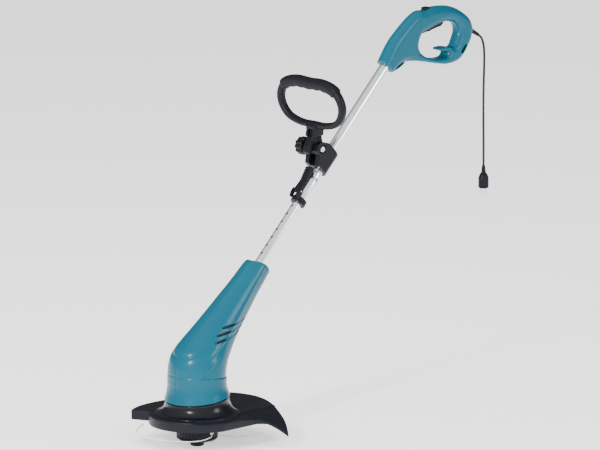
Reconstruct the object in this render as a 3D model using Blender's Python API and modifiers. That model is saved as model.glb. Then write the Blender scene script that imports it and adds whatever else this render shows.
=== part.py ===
"""String trimmer: motor head with guard and bump-feed spool, telescopic shaft, loop handle, rear handle.

Lengths in this file are millimetres and are turned into metres as the meshes are made.
The origin is the middle of the bump knob's underside and +Z runs up the spool's axis.
The shaft rises towards +X, where the user stands, and the whole machine is mirrored about Y = 0.
"""

import math

import bmesh
import bpy
import numpy as np
from mathutils import Matrix, Vector

# ---------------------------------------------------------------- driving dimensions (mm, degrees)
MM = 0.001
GAP = 0.3

SHAFT_ANGLE = 44.4
SHAFT_FOOT_Z = 178.0
LOWER_TUBE_R = 9.5
LOWER_TUBE_BORE = 8.2
UPPER_TUBE_R = 11.0
UPPER_TUBE_BORE = LOWER_TUBE_R + GAP
MOUTH_T = 247.0
LOCK_RING_T = 404.0
SLEEVE_T = 416.3
SLEEVE_TOP_T = 483.0
CLAMP_T = (489.0, 540.0)
HANDLE_SOCKET_T = 760.0

KNOB_R = 14.5
SPOOL_R = 42.5
SPOOL_TOP = 47.0
COVER_BOTTOM = 13.6
COVER_TOP = 20.0
EYELET_Z = 32.0
LINE_R = 1.0

GUARD_TOP = 68.0
GUARD_WALL = 3.0
SKIRT_BOTTOM = 47.0
LIP_R = 99.0
NEAR_SIDE_Y = 97.0
NEAR_STEP_Y = 62.0
PLATEAU_R = 89.0

RIM_Z = 102.0
RIM_R = 67.0
RIM_TILT = 0.105
HOUSING_WALL = 2.6
SEAM = 0.15

BOLT_T = 519.0
BOLT_P = 39.7
LOOP_HALF_WIDTH = 87.5
LOOP_HALF_HEIGHT = 44.0
LOOP_LEAN = 8.0

GRIP_HALF = 17.0
CORD_R = 2.5
CORD_LENGTH = 300.0

ANGLE = math.radians(SHAFT_ANGLE)
ALONG = Vector((math.cos(ANGLE), 0.0, math.sin(ANGLE)))
UPWARD = Vector((-math.sin(ANGLE), 0.0, math.cos(ANGLE)))
FOOT = Vector((0.0, 0.0, SHAFT_FOOT_Z))
TURN_Z_TO_SHAFT = Matrix.Rotation(math.pi / 2 - ANGLE, 4, "Y")
TURN_XY_TO_XZ = Matrix.Rotation(math.pi / 2, 4, "X")
TURN_XY_TO_SHAFT = Matrix.Rotation(-ANGLE, 4, "Y") @ TURN_XY_TO_XZ
TURN_Z_TO_Y = Matrix.Rotation(-math.pi / 2, 4, "X")


# ---------------------------------------------------------------- scene and materials
for old in list(bpy.data.objects):
    bpy.data.objects.remove(old, do_unlink=True)


def new_collection(name):
    """A collection of that name in the scene."""
    made = bpy.data.collections.new(name)
    bpy.context.scene.collection.children.link(made)
    return made


PARTS = new_collection("string_trimmer")
CUTTERS = new_collection("cutters")


def material(name, colour, rough, metal=0.0):
    """A Principled material in one colour."""
    made = bpy.data.materials.new(name)
    made.use_nodes = True
    shader = made.node_tree.nodes["Principled BSDF"]
    shader.inputs["Base Color"].default_value = (*colour, 1.0)
    shader.inputs["Roughness"].default_value = rough
    shader.inputs["Metallic"].default_value = metal
    return made


TEAL = material("teal_plastic", (0.010, 0.180, 0.230), 0.35)
BLACK = material("black_plastic", (0.020, 0.021, 0.024), 0.40)
GUARD_BLACK = material("guard_plastic", (0.030, 0.031, 0.037), 0.45)
RUBBER = material("soft_rubber", (0.022, 0.022, 0.025), 0.70)
ALUMINIUM = material("bright_aluminium", (0.80, 0.82, 0.84), 0.22, 1.0)
STEEL = material("zinc_steel", (0.62, 0.62, 0.60), 0.30, 1.0)
SPRING = material("spring_steel", (0.40, 0.40, 0.42), 0.35, 1.0)
COPPER = material("wound_copper", (0.55, 0.20, 0.08), 0.40, 1.0)
LAMINATION = material("motor_iron", (0.22, 0.22, 0.23), 0.45, 1.0)
BRONZE = material("sintered_bronze", (0.50, 0.33, 0.16), 0.45, 1.0)
CARBON = material("brush_carbon", (0.03, 0.03, 0.03), 0.60)
NYLON = material("nylon_line", (0.86, 0.87, 0.86), 0.35)
FAN_WHITE = material("fan_plastic", (0.70, 0.70, 0.66), 0.50)
CORD_SHEATH = material("cord_sheath", (0.025, 0.025, 0.028), 0.55)


# ---------------------------------------------------------------- making solids
def add(name, mesh, finish, matrix=None, cutter=False):
    """Link a mesh as an object at a matrix whose shift is in mm; finish is its material."""
    made = bpy.data.objects.new(name, mesh)
    if cutter:
        CUTTERS.objects.link(made)
        made.hide_render = True
        made.display_type = "WIRE"
    else:
        PARTS.objects.link(made)
        mesh.materials.append(finish)
    if matrix is not None:
        placed = matrix.copy()
        placed.translation = matrix.translation * MM
        made.matrix_world = placed
    return made


def at(x, y, z, turn=None):
    """A matrix at a place in mm, turned as asked."""
    return Matrix.Translation((x, y, z)) @ (turn if turn is not None else Matrix.Identity(4))


def on_shaft(t, p=0.0, y=0.0, turn=TURN_Z_TO_SHAFT):
    """A matrix at distance t along the shaft, p above it and y across it."""
    place = FOOT + ALONG * t + UPWARD * p + Vector((0.0, y, 0.0))
    return Matrix.Translation(place) @ turn


def mesh_of(name, points, faces=(), edges=()):
    """A mesh from points in mm."""
    made = bpy.data.meshes.new(name)
    made.from_pydata([tuple(float(c) * MM for c in p) for p in points], list(edges), list(faces))
    made.update()
    return made


def smooth(obj, angle=35.0):
    """Smooth shading with creases kept where faces meet at more than the angle."""
    obj.data.shade_smooth()
    obj.data.set_sharp_from_angle(angle=math.radians(angle))
    return obj


def turned(name, profile, finish, matrix=None, steps=24, ring=True, cutter=False):
    """A turned piece: (radius, height) points down the outer side; a ring closes on itself."""
    points = [(r, 0.0, z) for r, z in profile]
    edges = [(i, i + 1) for i in range(len(points) - 1)]
    if ring:
        edges.append((len(points) - 1, 0))
    made = add(name, mesh_of(name, points, edges=edges), finish, matrix, cutter)
    spin = made.modifiers.new("turn", "SCREW")
    spin.axis = "Z"
    spin.steps = steps
    spin.render_steps = steps
    spin.use_merge_vertices = True
    spin.merge_threshold = 0.00001
    return made


def tube_piece(name, bore, radius, start, end, finish, steps=22):
    """A plain tube round the shaft between two distances along it."""
    profile = [(bore, end), (radius, end), (radius, start), (bore, start)]
    return turned(name, profile, finish, on_shaft(0.0), steps)


def rod(name, radius, length, finish, matrix, sides=24, cutter=False):
    """A round bar centred on the matrix, along its Z."""
    shape = bmesh.new()
    bmesh.ops.create_cone(shape, cap_ends=True, segments=sides, radius1=radius * MM,
                          radius2=radius * MM, depth=length * MM)
    mesh = bpy.data.meshes.new(name)
    shape.to_mesh(mesh)
    shape.free()
    return add(name, mesh, finish, matrix, cutter)


def block(name, size, finish, matrix, bevel=0.0, cutter=False):
    """A box of the given size, centred on the matrix, with its edges rounded by the bevel."""
    shape = bmesh.new()
    bmesh.ops.create_cube(shape, size=1.0)
    bmesh.ops.scale(shape, verts=shape.verts, vec=[side * MM for side in size])
    mesh = bpy.data.meshes.new(name)
    shape.to_mesh(mesh)
    shape.free()
    made = add(name, mesh, finish, matrix, cutter)
    if bevel > 0.0:
        rounding = made.modifiers.new("edges", "BEVEL")
        rounding.width = bevel * MM
        rounding.segments = 2
    return made


def curve_to_mesh(curve_object):
    """The curve's solid as a mesh with its caps welded; the curve is removed."""
    bpy.context.view_layer.update()
    ready = curve_object.evaluated_get(bpy.context.evaluated_depsgraph_get())
    mesh = bpy.data.meshes.new_from_object(ready)
    shape = bmesh.new()
    shape.from_mesh(mesh)
    bmesh.ops.remove_doubles(shape, verts=shape.verts, dist=0.000002)
    shape.to_mesh(mesh)
    shape.free()
    mesh.materials.clear()
    bpy.data.objects.remove(curve_object, do_unlink=True)
    return mesh


def plate(name, outlines, thick, finish, matrix, edge=0.0, cutter=False):
    """A flat outline (with any holes after it) given its thickness and a rounded edge."""
    curve = bpy.data.curves.new(name, "CURVE")
    curve.dimensions = "2D"
    curve.fill_mode = "BOTH"
    curve.extrude = (thick / 2 - edge) * MM
    curve.bevel_depth = edge * MM
    curve.bevel_resolution = 1
    curve.offset = -edge * MM
    for outline in outlines:
        spline = curve.splines.new("POLY")
        spline.points.add(len(outline) - 1)
        for point, (x, y) in zip(spline.points, outline):
            point.co = (x * MM, y * MM, 0.0, 1.0)
        spline.use_cyclic_u = True
    flat = bpy.data.objects.new(name + "_outline", curve)
    CUTTERS.objects.link(flat)
    return add(name, curve_to_mesh(flat), finish, matrix, cutter)


def bent_bar(name, points, radius, finish, resolution=2, matrix=None):
    """A round bar or wire along points in mm, with flat ends."""
    curve = bpy.data.curves.new(name, "CURVE")
    curve.dimensions = "3D"
    curve.bevel_depth = radius * MM
    curve.bevel_resolution = resolution
    curve.use_fill_caps = True
    spline = curve.splines.new("POLY")
    spline.points.add(len(points) - 1)
    for point, place in zip(spline.points, points):
        point.co = (*(c * MM for c in place), 1.0)
    wire = bpy.data.objects.new(name + "_path", curve)
    CUTTERS.objects.link(wire)
    return add(name, curve_to_mesh(wire), finish, matrix)


def combine(target, tool, how="DIFFERENCE"):
    """Cut the tool from the target, or join it on."""
    step = target.modifiers.new(how.lower(), "BOOLEAN")
    step.operation = how
    step.solver = "EXACT"
    step.object = tool
    return target


def cut(target, *tools):
    """Cut each tool from the target."""
    for tool in tools:
        combine(target, tool)
    return target


def join(target, *tools):
    """Join each tool onto the target."""
    for tool in tools:
        combine(target, tool, "UNION")
    return target


def arc(cx, cy, radius, start, end, count):
    """Points on an arc between two angles in degrees."""
    angles = np.radians(np.linspace(start, end, count))
    return [(cx + radius * math.cos(a), cy + radius * math.sin(a)) for a in angles]


def smooth_line(points, count, closed=False):
    """Evenly numbered points on a Catmull-Rom curve through the given ones."""
    pts = np.array(points, dtype=float)
    n = len(pts)
    spans = n if closed else n - 1
    out = []
    for u in np.linspace(0.0, spans, count, endpoint=not closed):
        i = min(int(u), spans - 1)
        s = u - i
        if closed:
            a, b, c, d = (pts[(i + k) % n] for k in (-1, 0, 1, 2))
        else:
            b, c = pts[i], pts[i + 1]
            a = pts[i - 1] if i > 0 else 2 * b - c
            d = pts[i + 2] if i + 2 < n else 2 * c - b
        out.append(0.5 * (2 * b + (c - a) * s + (2 * a - 5 * b + 4 * c - d) * s ** 2
                          + (3 * b - a - 3 * c + d) * s ** 3))
    return [tuple(p) for p in out]


def loft(name, rings, finish, around=True, along=True, cutter=False):
    """A skin over rings of equal numbers of points, closed both ways or capped at the ends."""
    count = len(rings[0])
    points = [p for ring in rings for p in ring]
    faces = []
    for i in range(len(rings) if along else len(rings) - 1):
        a = i * count
        b = ((i + 1) % len(rings)) * count
        for k in range(count if around else count - 1):
            m = (k + 1) % count
            faces.append((a + k, a + m, b + m, b + k))
    if not along:
        faces.append(tuple(reversed(range(count))))
        faces.append(tuple(range((len(rings) - 1) * count, len(rings) * count)))
    mesh = mesh_of(name, points, faces)
    shape = bmesh.new()
    shape.from_mesh(mesh)
    bmesh.ops.recalc_face_normals(shape, faces=shape.faces)
    shape.to_mesh(mesh)
    shape.free()
    return add(name, mesh, finish, None, cutter)


def half_shell(name, outer, inner, finish):
    """One half of a casing: outer and inner surfaces of the same grid, joined round all four edges."""
    rows = len(outer)
    cols = len(outer[0])
    points = [p for row in outer for p in row] + [p for row in inner for p in row]
    shift = rows * cols
    faces = []
    for i in range(rows - 1):
        for k in range(cols - 1):
            a = i * cols + k
            faces.append((a, a + 1, a + 1 + cols, a + cols))
            faces.append((shift + a, shift + a + cols, shift + a + cols + 1, shift + a + 1))
    for i in range(rows - 1):
        for k in (0, cols - 1):
            a = i * cols + k
            faces.append((a, a + cols, shift + a + cols, shift + a))
    for k in range(cols - 1):
        for i in (0, rows - 1):
            a = i * cols + k
            faces.append((a, shift + a, shift + a + 1, a + 1))
    mesh = mesh_of(name, points, faces)
    shape = bmesh.new()
    shape.from_mesh(mesh)
    bmesh.ops.recalc_face_normals(shape, faces=shape.faces)
    shape.to_mesh(mesh)
    shape.free()
    return add(name, mesh, finish)


# ---------------------------------------------------------------- motor housing
# Each station is the front point and the rear point of a section in the XZ plane, and its half width.
STATIONS = [
    ((-67.0, 95.2), (67.0, 109.2), 67.0),
    ((-63.5, 112.0), (63.0, 121.0), 63.5),
    ((-61.5, 132.0), (61.0, 136.0), 61.5),
    ((-61.0, 152.0), (62.0, 153.0), 61.0),
    ((-59.5, 171.0), (66.0, 167.0), 60.0),
    ((-55.5, 188.0), (71.0, 180.0), 58.0),
    ((-47.0, 203.0), (78.0, 192.0), 54.5),
    ((-30.0, 218.0), (87.0, 205.0), 50.0),
    ((10.0, 250.0), (98.0, 218.0), 43.5),
    ((55.0, 286.0), (109.0, 231.0), 38.5),
    ((82.7, 308.0), (131.7, 258.0), 35.0),
    ((114.1, 333.0), (157.5, 288.8), 31.0),
    ((148.2, 362.5), (187.6, 322.3), 28.0),
    ((156.6, 368.6), (194.6, 329.8), 26.6),
    ((161.5, 366.8), (191.8, 335.9), 21.6),
]
HALF_POINTS = 13


def section(front, rear, half_width, side, shrink):
    """Half of an elliptical ring from the front point round one side to the rear point."""
    f = np.array((front[0], 0.0, front[1]))
    r = np.array((rear[0], 0.0, rear[1]))
    middle = (f + r) / 2
    reach = (f - r) / 2
    reach = reach * (1.0 - shrink / np.linalg.norm(reach))
    across = np.array((0.0, side * (half_width - shrink), 0.0))
    ring = []
    for angle in np.linspace(0.0, math.pi, HALF_POINTS):
        point = middle + reach * math.cos(angle) + across * math.sin(angle)
        point[1] = side * max(side * point[1], SEAM)
        ring.append(tuple(point))
    return ring


def housing_half(name, side):
    """One half of the motor housing, from the tilted rim up to the mouth round the tube."""
    outer = [section(*station, side, 0.0) for station in STATIONS]
    inner = [section(*station, side, HOUSING_WALL) for station in STATIONS[:-2]]
    bore = LOWER_TUBE_R + 2 * GAP
    for t in (MOUTH_T - 6.0, MOUTH_T + 1.2):
        middle = FOOT + ALONG * t
        top = middle + UPWARD * bore
        low = middle - UPWARD * bore
        inner.append(section((top.x, top.z), (low.x, low.z), bore, side, 0.0))
    return smooth(half_shell(name, outer, inner, TEAL))


left_half = housing_half("motor_housing_left", -1.0)
right_half = housing_half("motor_housing_right", 1.0)


def tilted_ring(radius, height, tilt, count=32):
    """A ring about the spool's axis whose rear stands higher than its front."""
    ring = []
    for angle in np.linspace(0.0, 2 * math.pi, count, endpoint=False):
        x = radius * math.cos(angle)
        ring.append((x, radius * math.sin(angle), height + tilt * x))
    return ring


COLLAR_OUTER = [(65.0, 101.6, 1.0), (66.0, 94.0, 1.0), (69.0, 86.0, 0.8),
                (76.0, 76.5, 0.3), (86.0, 70.6, 0.0), (87.0, GUARD_TOP + GAP, 0.0)]
COLLAR_INNER = [(83.0, GUARD_TOP + GAP, 0.0), (72.5, 75.0, 0.3), (65.5, 86.0, 0.8), (61.5, 101.6, 1.0)]
smooth(loft("flared_collar", [tilted_ring(r, z, RIM_TILT * k) for r, z, k in COLLAR_OUTER + COLLAR_INNER],
            BLACK))

# Cooling slots on both sides of the neck's underside, and the screws that close the housing.
SLOT_T = (118.0, 131.0, 144.0)
for side, half in ((-1.0, left_half), (1.0, right_half)):
    for number, t in enumerate(SLOT_T):
        slot = block(f"cutter_slot_{number}_{side:.0f}", (2.6, 40.0, 30.0), BLACK,
                     on_shaft(t, -16.0, side * 34.0,
                              Matrix.Rotation(math.radians(-62.0), 4, "Y")), cutter=True)
        cut(half, slot)

# ---------------------------------------------------------------- guard
GUARD_ANGLES = (-50.6, -45.0, -30.0, -20.0, -13.0, 0.0, 10.0, 25.0, 35.0, 45.0, 60.0, 75.0, 90.0, 123.0)
GUARD_RADII = (188.0, 184.0, 175.0, 175.0, 180.0, 193.5, 203.0, 207.0, 195.0, 178.0, 155.0, 141.0,
               139.0, 139.0)
GUARD_STEPS = ([-50.6, -47.0] + list(range(-42, 124, 6)) + [123.0, 125.5]
               + list(range(132, 248, 7)) + [250.0, 256.0, 262.0, 270.0, 278.0, 286.0, 294.0, 300.0,
                                             305.0, 308.6])
HUB_HOLE_R = 24.0


def guard_radius(angle):
    """The guard's outline: fan at the rear, round lip in front, straight near side."""
    if angle <= 123.0:
        return float(np.interp(angle, GUARD_ANGLES, GUARD_RADII))
    if angle < 258.5:
        return LIP_R
    return min(NEAR_SIDE_Y / abs(math.sin(math.radians(angle))), 124.0)


def guard_height(x, y):
    """The top: level, then a step and a slope on the near side, then a wing tip that curls down."""
    near = min(-NEAR_STEP_Y - y, math.hypot(x, y) - PLATEAU_R)
    slope = 0.85 * min(max(near, 0.0), 2.6) + 0.2 * min(max(near - 2.6, 0.0), 30.0)
    tip = max(-82.0 - y, 0.0) * min(max((x - 58.0) / 20.0, 0.0), 1.0)
    return GUARD_TOP - slope - 0.0086 * tip * tip


def guard_section(angle):
    """The guard's cross-section at one angle: hub hole, plate, skirt and back under the plate."""
    c = math.cos(math.radians(angle))
    s = math.sin(math.radians(angle))
    edge = guard_radius(angle)
    edge_z = guard_height(edge * c, edge * s)
    low = min(SKIRT_BOTTOM, edge_z - 5.0)
    over = [PLATEAU_R + (edge - 5.0 - PLATEAU_R) * share for share in (0.0, 0.5, 1.0)]
    under = [PLATEAU_R + (edge - GUARD_WALL - 4.0 - PLATEAU_R) * share for share in (1.0, 0.5, 0.0)]
    corners = [(HUB_HOLE_R, GUARD_TOP)]
    corners += [(r, guard_height(r * c, r * s)) for r in over]
    corners += [(edge - 1.0, edge_z - 2.0), (edge, low), (edge - GUARD_WALL, low)]
    corners += [(r, guard_height(r * c, r * s) - GUARD_WALL) for r in under]
    corners.append((HUB_HOLE_R, GUARD_TOP - GUARD_WALL))
    return [(r * c, r * s, z) for r, z in corners]


guard = loft("guard", [guard_section(a) for a in GUARD_STEPS], GUARD_BLACK)

BLADE_ANGLE = -46.0
BLADE_R = 169.0
blade_turn = Matrix.Rotation(math.radians(BLADE_ANGLE), 4, "Z")
blade_x = BLADE_R * math.cos(math.radians(BLADE_ANGLE))
blade_y = BLADE_R * math.sin(math.radians(BLADE_ANGLE))
block("line_cutter_blade", (1.6, 12.0, 12.0), STEEL, at(blade_x, blade_y, 29.5, blade_turn), 0.4)


def screw_profile(head, shank, length):
    """A pan-head screw, head up, from its top down to the point."""
    return [(0.0, head * 0.55), (head * 0.6, head * 0.5), (head, 0.1), (head, 0.0), (shank, 0.0),
            (shank, -length + 1.0), (0.0, -length)]


for number, angle in enumerate((87.0, 207.0, 327.0)):
    x = 46.0 * math.cos(math.radians(angle))
    y = 46.0 * math.sin(math.radians(angle))
    hole = rod(f"cutter_guard_screw_{number}", 2.3, 12.0, BLACK, at(x, y, GUARD_TOP), cutter=True)
    cut(guard, hole)
    turned(f"guard_screw_{number + 1}", screw_profile(4.0, 1.9, 11.0), STEEL,
           at(x, y, GUARD_TOP - GUARD_WALL - GAP, Matrix.Rotation(math.pi, 4, "X")), 10, ring=False)

# ---------------------------------------------------------------- motor
turned("motor_bracket", [(13.3, 106.0), (17.0, 106.0), (17.0, 97.0), (57.0, 97.0), (57.0, 94.0), (13.3, 94.0)],
       BLACK)
turned("lower_bearing", [(4.3, 106.0), (13.0, 106.0), (13.0, 98.0), (4.3, 98.0)], STEEL, steps=20)
turned("motor_stator", [(28.7, 176.0), (46.0, 176.0), (46.0, 122.0), (28.7, 122.0)], LAMINATION)
turned("motor_armature", [(0.0, 203.0), (3.7, 203.0), (3.7, 191.2), (11.0, 191.2), (11.0, 180.0),
                          (4.0, 180.0), (4.0, 174.0), (28.0, 174.0), (28.0, 124.0), (4.0, 124.0),
                          (4.0, 44.0), (0.0, 44.0)], COPPER, steps=20, ring=False)
turned("upper_bearing", [(4.0, 201.0), (11.0, 201.0), (11.0, 195.3), (4.0, 195.3)], BRONZE, steps=20)
turned("brush_carrier", [(11.3, 202.0), (15.0, 202.0), (15.0, 195.0), (34.0, 195.0), (34.0, 191.5),
                         (13.0, 191.5), (13.0, 195.0), (11.3, 195.0)], BLACK, steps=20)
for number, side in enumerate((-1.0, 1.0)):
    block(f"carbon_brush_{number + 1}", (12.0, 8.0, 7.0), CARBON, at(0.0, side * 17.8, 186.0,
          Matrix.Rotation(math.pi / 2, 4, "Z")))

FAN_BLADES = 9
fan_outline = []
for blade in range(FAN_BLADES):
    start = 360.0 / FAN_BLADES * blade
    fan_outline += arc(0.0, 0.0, 15.0, start, start + 22.0, 4)
    fan_outline += arc(0.0, 0.0, 44.0, start + 34.0, start + 40.0, 2)
plate("cooling_fan", [fan_outline, arc(0.0, 0.0, 4.3, 0.0, 345.0, 24)], 7.0, FAN_WHITE, at(0.0, 0.0, 112.5))

# ---------------------------------------------------------------- spool
spool = turned("spool_housing", [(4.3, 57.0), (12.0, 57.0), (12.0, 48.5), (38.0, SPOOL_TOP), (SPOOL_R, 43.0),
                                 (SPOOL_R, COVER_TOP + GAP), (39.5, COVER_TOP + GAP), (39.5, 43.5),
                                 (4.3, 43.5)], BLACK, steps=28)
cut(spool, rod("cutter_eyelets", 2.4, 100.0, BLACK, at(0.0, 0.0, EYELET_Z, TURN_Z_TO_Y), 16, cutter=True))
turned("spool_cover", [(15.3, COVER_TOP), (SPOOL_R, COVER_TOP), (SPOOL_R, 17.5), (38.0, COVER_BOTTOM),
                       (15.3, COVER_BOTTOM)], BLACK, steps=28)
turned("bump_knob", [(0.0, 26.0), (18.0, 26.0), (18.0, 20.6), (14.9, 20.6), (KNOB_R, 3.5), (13.4, 1.0),
                     (11.5, 0.0), (0.0, 0.0)], BLACK, ring=False)
turned("line_reel", [(0.0, 28.8), (11.0, 28.8), (11.0, 38.5), (32.0, 38.5), (32.0, 36.8), (17.0, 36.8),
                     (17.0, 28.2), (32.0, 28.2), (32.0, 26.3), (0.0, 26.3)], FAN_WHITE, steps=24, ring=False)
turned("wound_line", [(17.3, 36.4), (28.0, 36.4), (29.5, 34.5), (29.5, 30.5), (28.0, 28.6), (17.3, 28.6)],
       NYLON, steps=24)


def coil(radius, bottom, top, turns, per_turn=9):
    """Points along a helix about Z."""
    count = int(turns * per_turn) + 1
    return [(radius * math.cos(2 * math.pi * k / per_turn), radius * math.sin(2 * math.pi * k / per_turn),
             bottom + (top - bottom) * k / (count - 1)) for k in range(count)]


bent_bar("bump_spring", coil(8.0, 34.0, 42.2, 3.0), 0.6, SPRING, 1)

LINE_ONE = [(0.0, -37.0, 32.0), (-1.0, -44.0, 31.0), (-16.0, -54.0, 27.0), (-40.0, -44.0, 22.0),
            (-62.0, -16.0, 20.0), (-82.0, 22.0, 21.0), (-90.0, 62.0, 22.0), (-74.0, 100.0, 23.0),
            (-50.0, 119.0, 25.0), (-26.0, 130.0, 28.0)]
LINE_TWO = [(0.0, 37.0, 32.0), (2.0, 44.0, 31.0), (20.0, 53.0, 27.0), (44.0, 42.0, 19.0),
            (60.0, 14.0, 12.0), (76.0, -14.0, 8.5), (104.0, -38.0, 8.0), (134.0, -54.0, 11.0)]
bent_bar("cutting_line_left", smooth_line(LINE_ONE, 24), LINE_R, NYLON)
bent_bar("cutting_line_right", smooth_line(LINE_TWO, 18), LINE_R, NYLON)

# ---------------------------------------------------------------- telescopic shaft and its lock
HOLE_PITCH = 20.5
HOLE_T = 270.0
lower_tube = tube_piece("lower_tube", LOWER_TUBE_BORE, LOWER_TUBE_R, 178.0, 562.0, ALUMINIUM)
for number in range(7):
    cut(lower_tube, rod(f"cutter_adjust_{number}", 2.3, 12.0, BLACK,
                        on_shaft(HOLE_T + HOLE_PITCH * number, 8.0, 0.0, TURN_XY_TO_SHAFT
                                 @ Matrix.Rotation(math.pi / 2, 4, "X")), 12, cutter=True))
tube_piece("tube_holder", LOWER_TUBE_R + GAP, 21.0, 182.0, 200.0, BLACK, 24)
tube_piece("upper_tube", UPPER_TUBE_BORE, UPPER_TUBE_R, 430.3, 802.0, ALUMINIUM)
sleeve = turned("lock_sleeve", [(11.3, SLEEVE_TOP_T), (14.2, SLEEVE_TOP_T), (14.2, SLEEVE_T), (9.8, SLEEVE_T),
                                (9.8, 430.0), (11.3, 430.0)], ALUMINIUM, on_shaft(0.0))
SHAFT_RADIAL = TURN_XY_TO_SHAFT @ Matrix.Rotation(math.pi / 2, 4, "X")
cut(sleeve, rod("cutter_sleeve_hole", 2.6, 8.0, BLACK, on_shaft(475.5, 13.0, 0.0, SHAFT_RADIAL), 16, cutter=True))

LEVER_T = 423.5
LEVER_P = 19.5
lock_ring = tube_piece("lock_ring", 9.8, 16.2, LOCK_RING_T, 416.0, BLACK)
for side in (-1.0, 1.0):
    join(lock_ring, block(f"cutter_ear_{side:.0f}", (22.0, 11.0, 3.0), BLACK,
                          on_shaft(418.5, 18.2, side * 10.8, TURN_XY_TO_SHAFT), cutter=True))
pin_hole = rod("cutter_lever_pin", 1.8, 40.0, BLACK, on_shaft(LEVER_T, LEVER_P, 0.0, TURN_Z_TO_Y), 16, cutter=True)
cut(lock_ring, pin_hole)
LEVER_OUTLINE = (arc(LEVER_T, LEVER_P, 4.0, 200.0, 90.0, 5)
                 + [(446.0, 21.5), (468.0, 26.5), (477.0, 28.5), (480.0, 26.0), (479.0, 17.0), (430.0, 14.9)]
                 + arc(LEVER_T, LEVER_P, 4.0, 290.0, 235.0, 3))
lever = plate("lock_lever", [LEVER_OUTLINE], 17.4, BLACK, on_shaft(0.0, 0.0, 0.0, TURN_XY_TO_SHAFT))
cut(lever, pin_hole)
rod("lever_pin", 1.5, 24.6, STEEL, on_shaft(LEVER_T, LEVER_P, 0.0, TURN_Z_TO_Y), 16)

# ---------------------------------------------------------------- front handle clamp
CHEEK_OUT = 20.0
CHEEK_IN = 9.0
CLAMP_R = 17.0
CHEEK_OUTLINE = ([(CLAMP_T[0], 0.0), (CLAMP_T[1], 0.0), (CLAMP_T[1], 33.0)]
                 + arc(BOLT_T, BOLT_P, 15.0, 15.0, 195.0, 13) + [(CLAMP_T[0], 26.0)])
clamp_middle = (CLAMP_T[0] + CLAMP_T[1]) / 2
clamp_long = CLAMP_T[1] - CLAMP_T[0]
tube_bore = rod("cutter_clamp_bore", UPPER_TUBE_R + GAP, 120.0, BLACK, on_shaft(clamp_middle), 28, cutter=True)
bolt_hole = rod("cutter_bolt_hole", 3.3, 120.0, BLACK, on_shaft(BOLT_T, BOLT_P, 0.0, TURN_Z_TO_Y), 20, cutter=True)
eye_slot = block("cutter_eye_slot", (90.0, 60.0, 2 * CHEEK_IN), BLACK,
                 on_shaft(clamp_middle, 19.0 + 30.0, 0.0, TURN_XY_TO_SHAFT), cutter=True)
head_recess = rod("cutter_head_recess", 9.0, 10.0, BLACK,
                  on_shaft(BOLT_T, BOLT_P, -CHEEK_OUT - 1.0, TURN_Z_TO_Y), 24, cutter=True)
for name, side in (("clamp_half_left", -1.0), ("clamp_half_right", 1.0)):
    cheek = plate(name, [CHEEK_OUTLINE], CHEEK_OUT - 0.4, BLACK,
                  on_shaft(0.0, 0.0, side * (CHEEK_OUT + 0.4) / 2, TURN_XY_TO_SHAFT))
    barrel = rod(f"cutter_barrel_{name}", CLAMP_R, clamp_long, BLACK, on_shaft(clamp_middle), 28, cutter=True)
    corner = block(f"cutter_corner_{name}", (90.0, 60.0, 60.0), BLACK,
                   on_shaft(clamp_middle, -30.0, side * (CLAMP_R + 30.0), TURN_XY_TO_SHAFT), cutter=True)
    other = block(f"cutter_other_{name}", (90.0, 90.0, 60.0), BLACK,
                  on_shaft(clamp_middle, 0.0, side * (0.4 - 30.0), TURN_XY_TO_SHAFT), cutter=True)
    join(cheek, barrel)
    cut(cheek, other, corner, tube_bore, eye_slot, bolt_hole)
    if side < 0:
        cut(cheek, head_recess)

BOLT_HEAD_Y = -CHEEK_OUT + 4.0 - GAP
bolt_turn = Matrix.Rotation(math.pi / 2, 4, "X")
bolt = turned("clamp_bolt", [(0.0, 4.6), (5.2, 4.6), (6.4, 3.9), (6.4, 0.0), (3.0, 0.0), (3.0, -58.0), (0.0, -58.0)],
              STEEL, on_shaft(BOLT_T, BOLT_P, BOLT_HEAD_Y, bolt_turn), 6, ring=False)
knob_outline = []
KNOB_LOBES = 10
for lobe in range(KNOB_LOBES):
    start = 360.0 / KNOB_LOBES * lobe
    knob_outline += arc(0.0, 0.0, 19.0, start, start + 16.0, 2)
    knob_outline += arc(0.0, 0.0, 17.4, start + 21.0, start + 25.0, 2)
knob = plate("clamp_knob", [knob_outline], 20.0, BLACK, on_shaft(BOLT_T, BOLT_P, 36.0, bolt_turn), 2.0)
join(knob, rod("cutter_knob_hub", 10.0, 8.0, BLACK, on_shaft(BOLT_T, BOLT_P, 24.6, TURN_Z_TO_Y), 24, cutter=True))
cut(knob, rod("cutter_knob_bore", 3.3, 26.0, BLACK, on_shaft(BOLT_T, BOLT_P, 30.0, TURN_Z_TO_Y), 20, cutter=True))

# ---------------------------------------------------------------- front handle
bolt_place = FOOT + ALONG * BOLT_T + UPWARD * BOLT_P
LOOP_CENTRE = Vector((bolt_place.x - 12.0, 0.0, 664.0))
lean = math.radians(LOOP_LEAN)
LOOP_UP = Vector((-math.sin(lean), 0.0, math.cos(lean)))
LOOP_OUT = Vector((-math.cos(lean), 0.0, -math.sin(lean)))
ACROSS = Vector((0.0, 1.0, 0.0))
LOOP_PATH = [(0.0, 1.0), (0.45, 1.01), (0.80, 0.80), (0.985, 0.30), (0.98, -0.25), (0.78, -0.76),
             (0.40, -0.99), (0.0, -1.0)]


def loop_point(across, up):
    """A point in the loop's plane."""
    return LOOP_CENTRE + ACROSS * across + LOOP_UP * up


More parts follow.
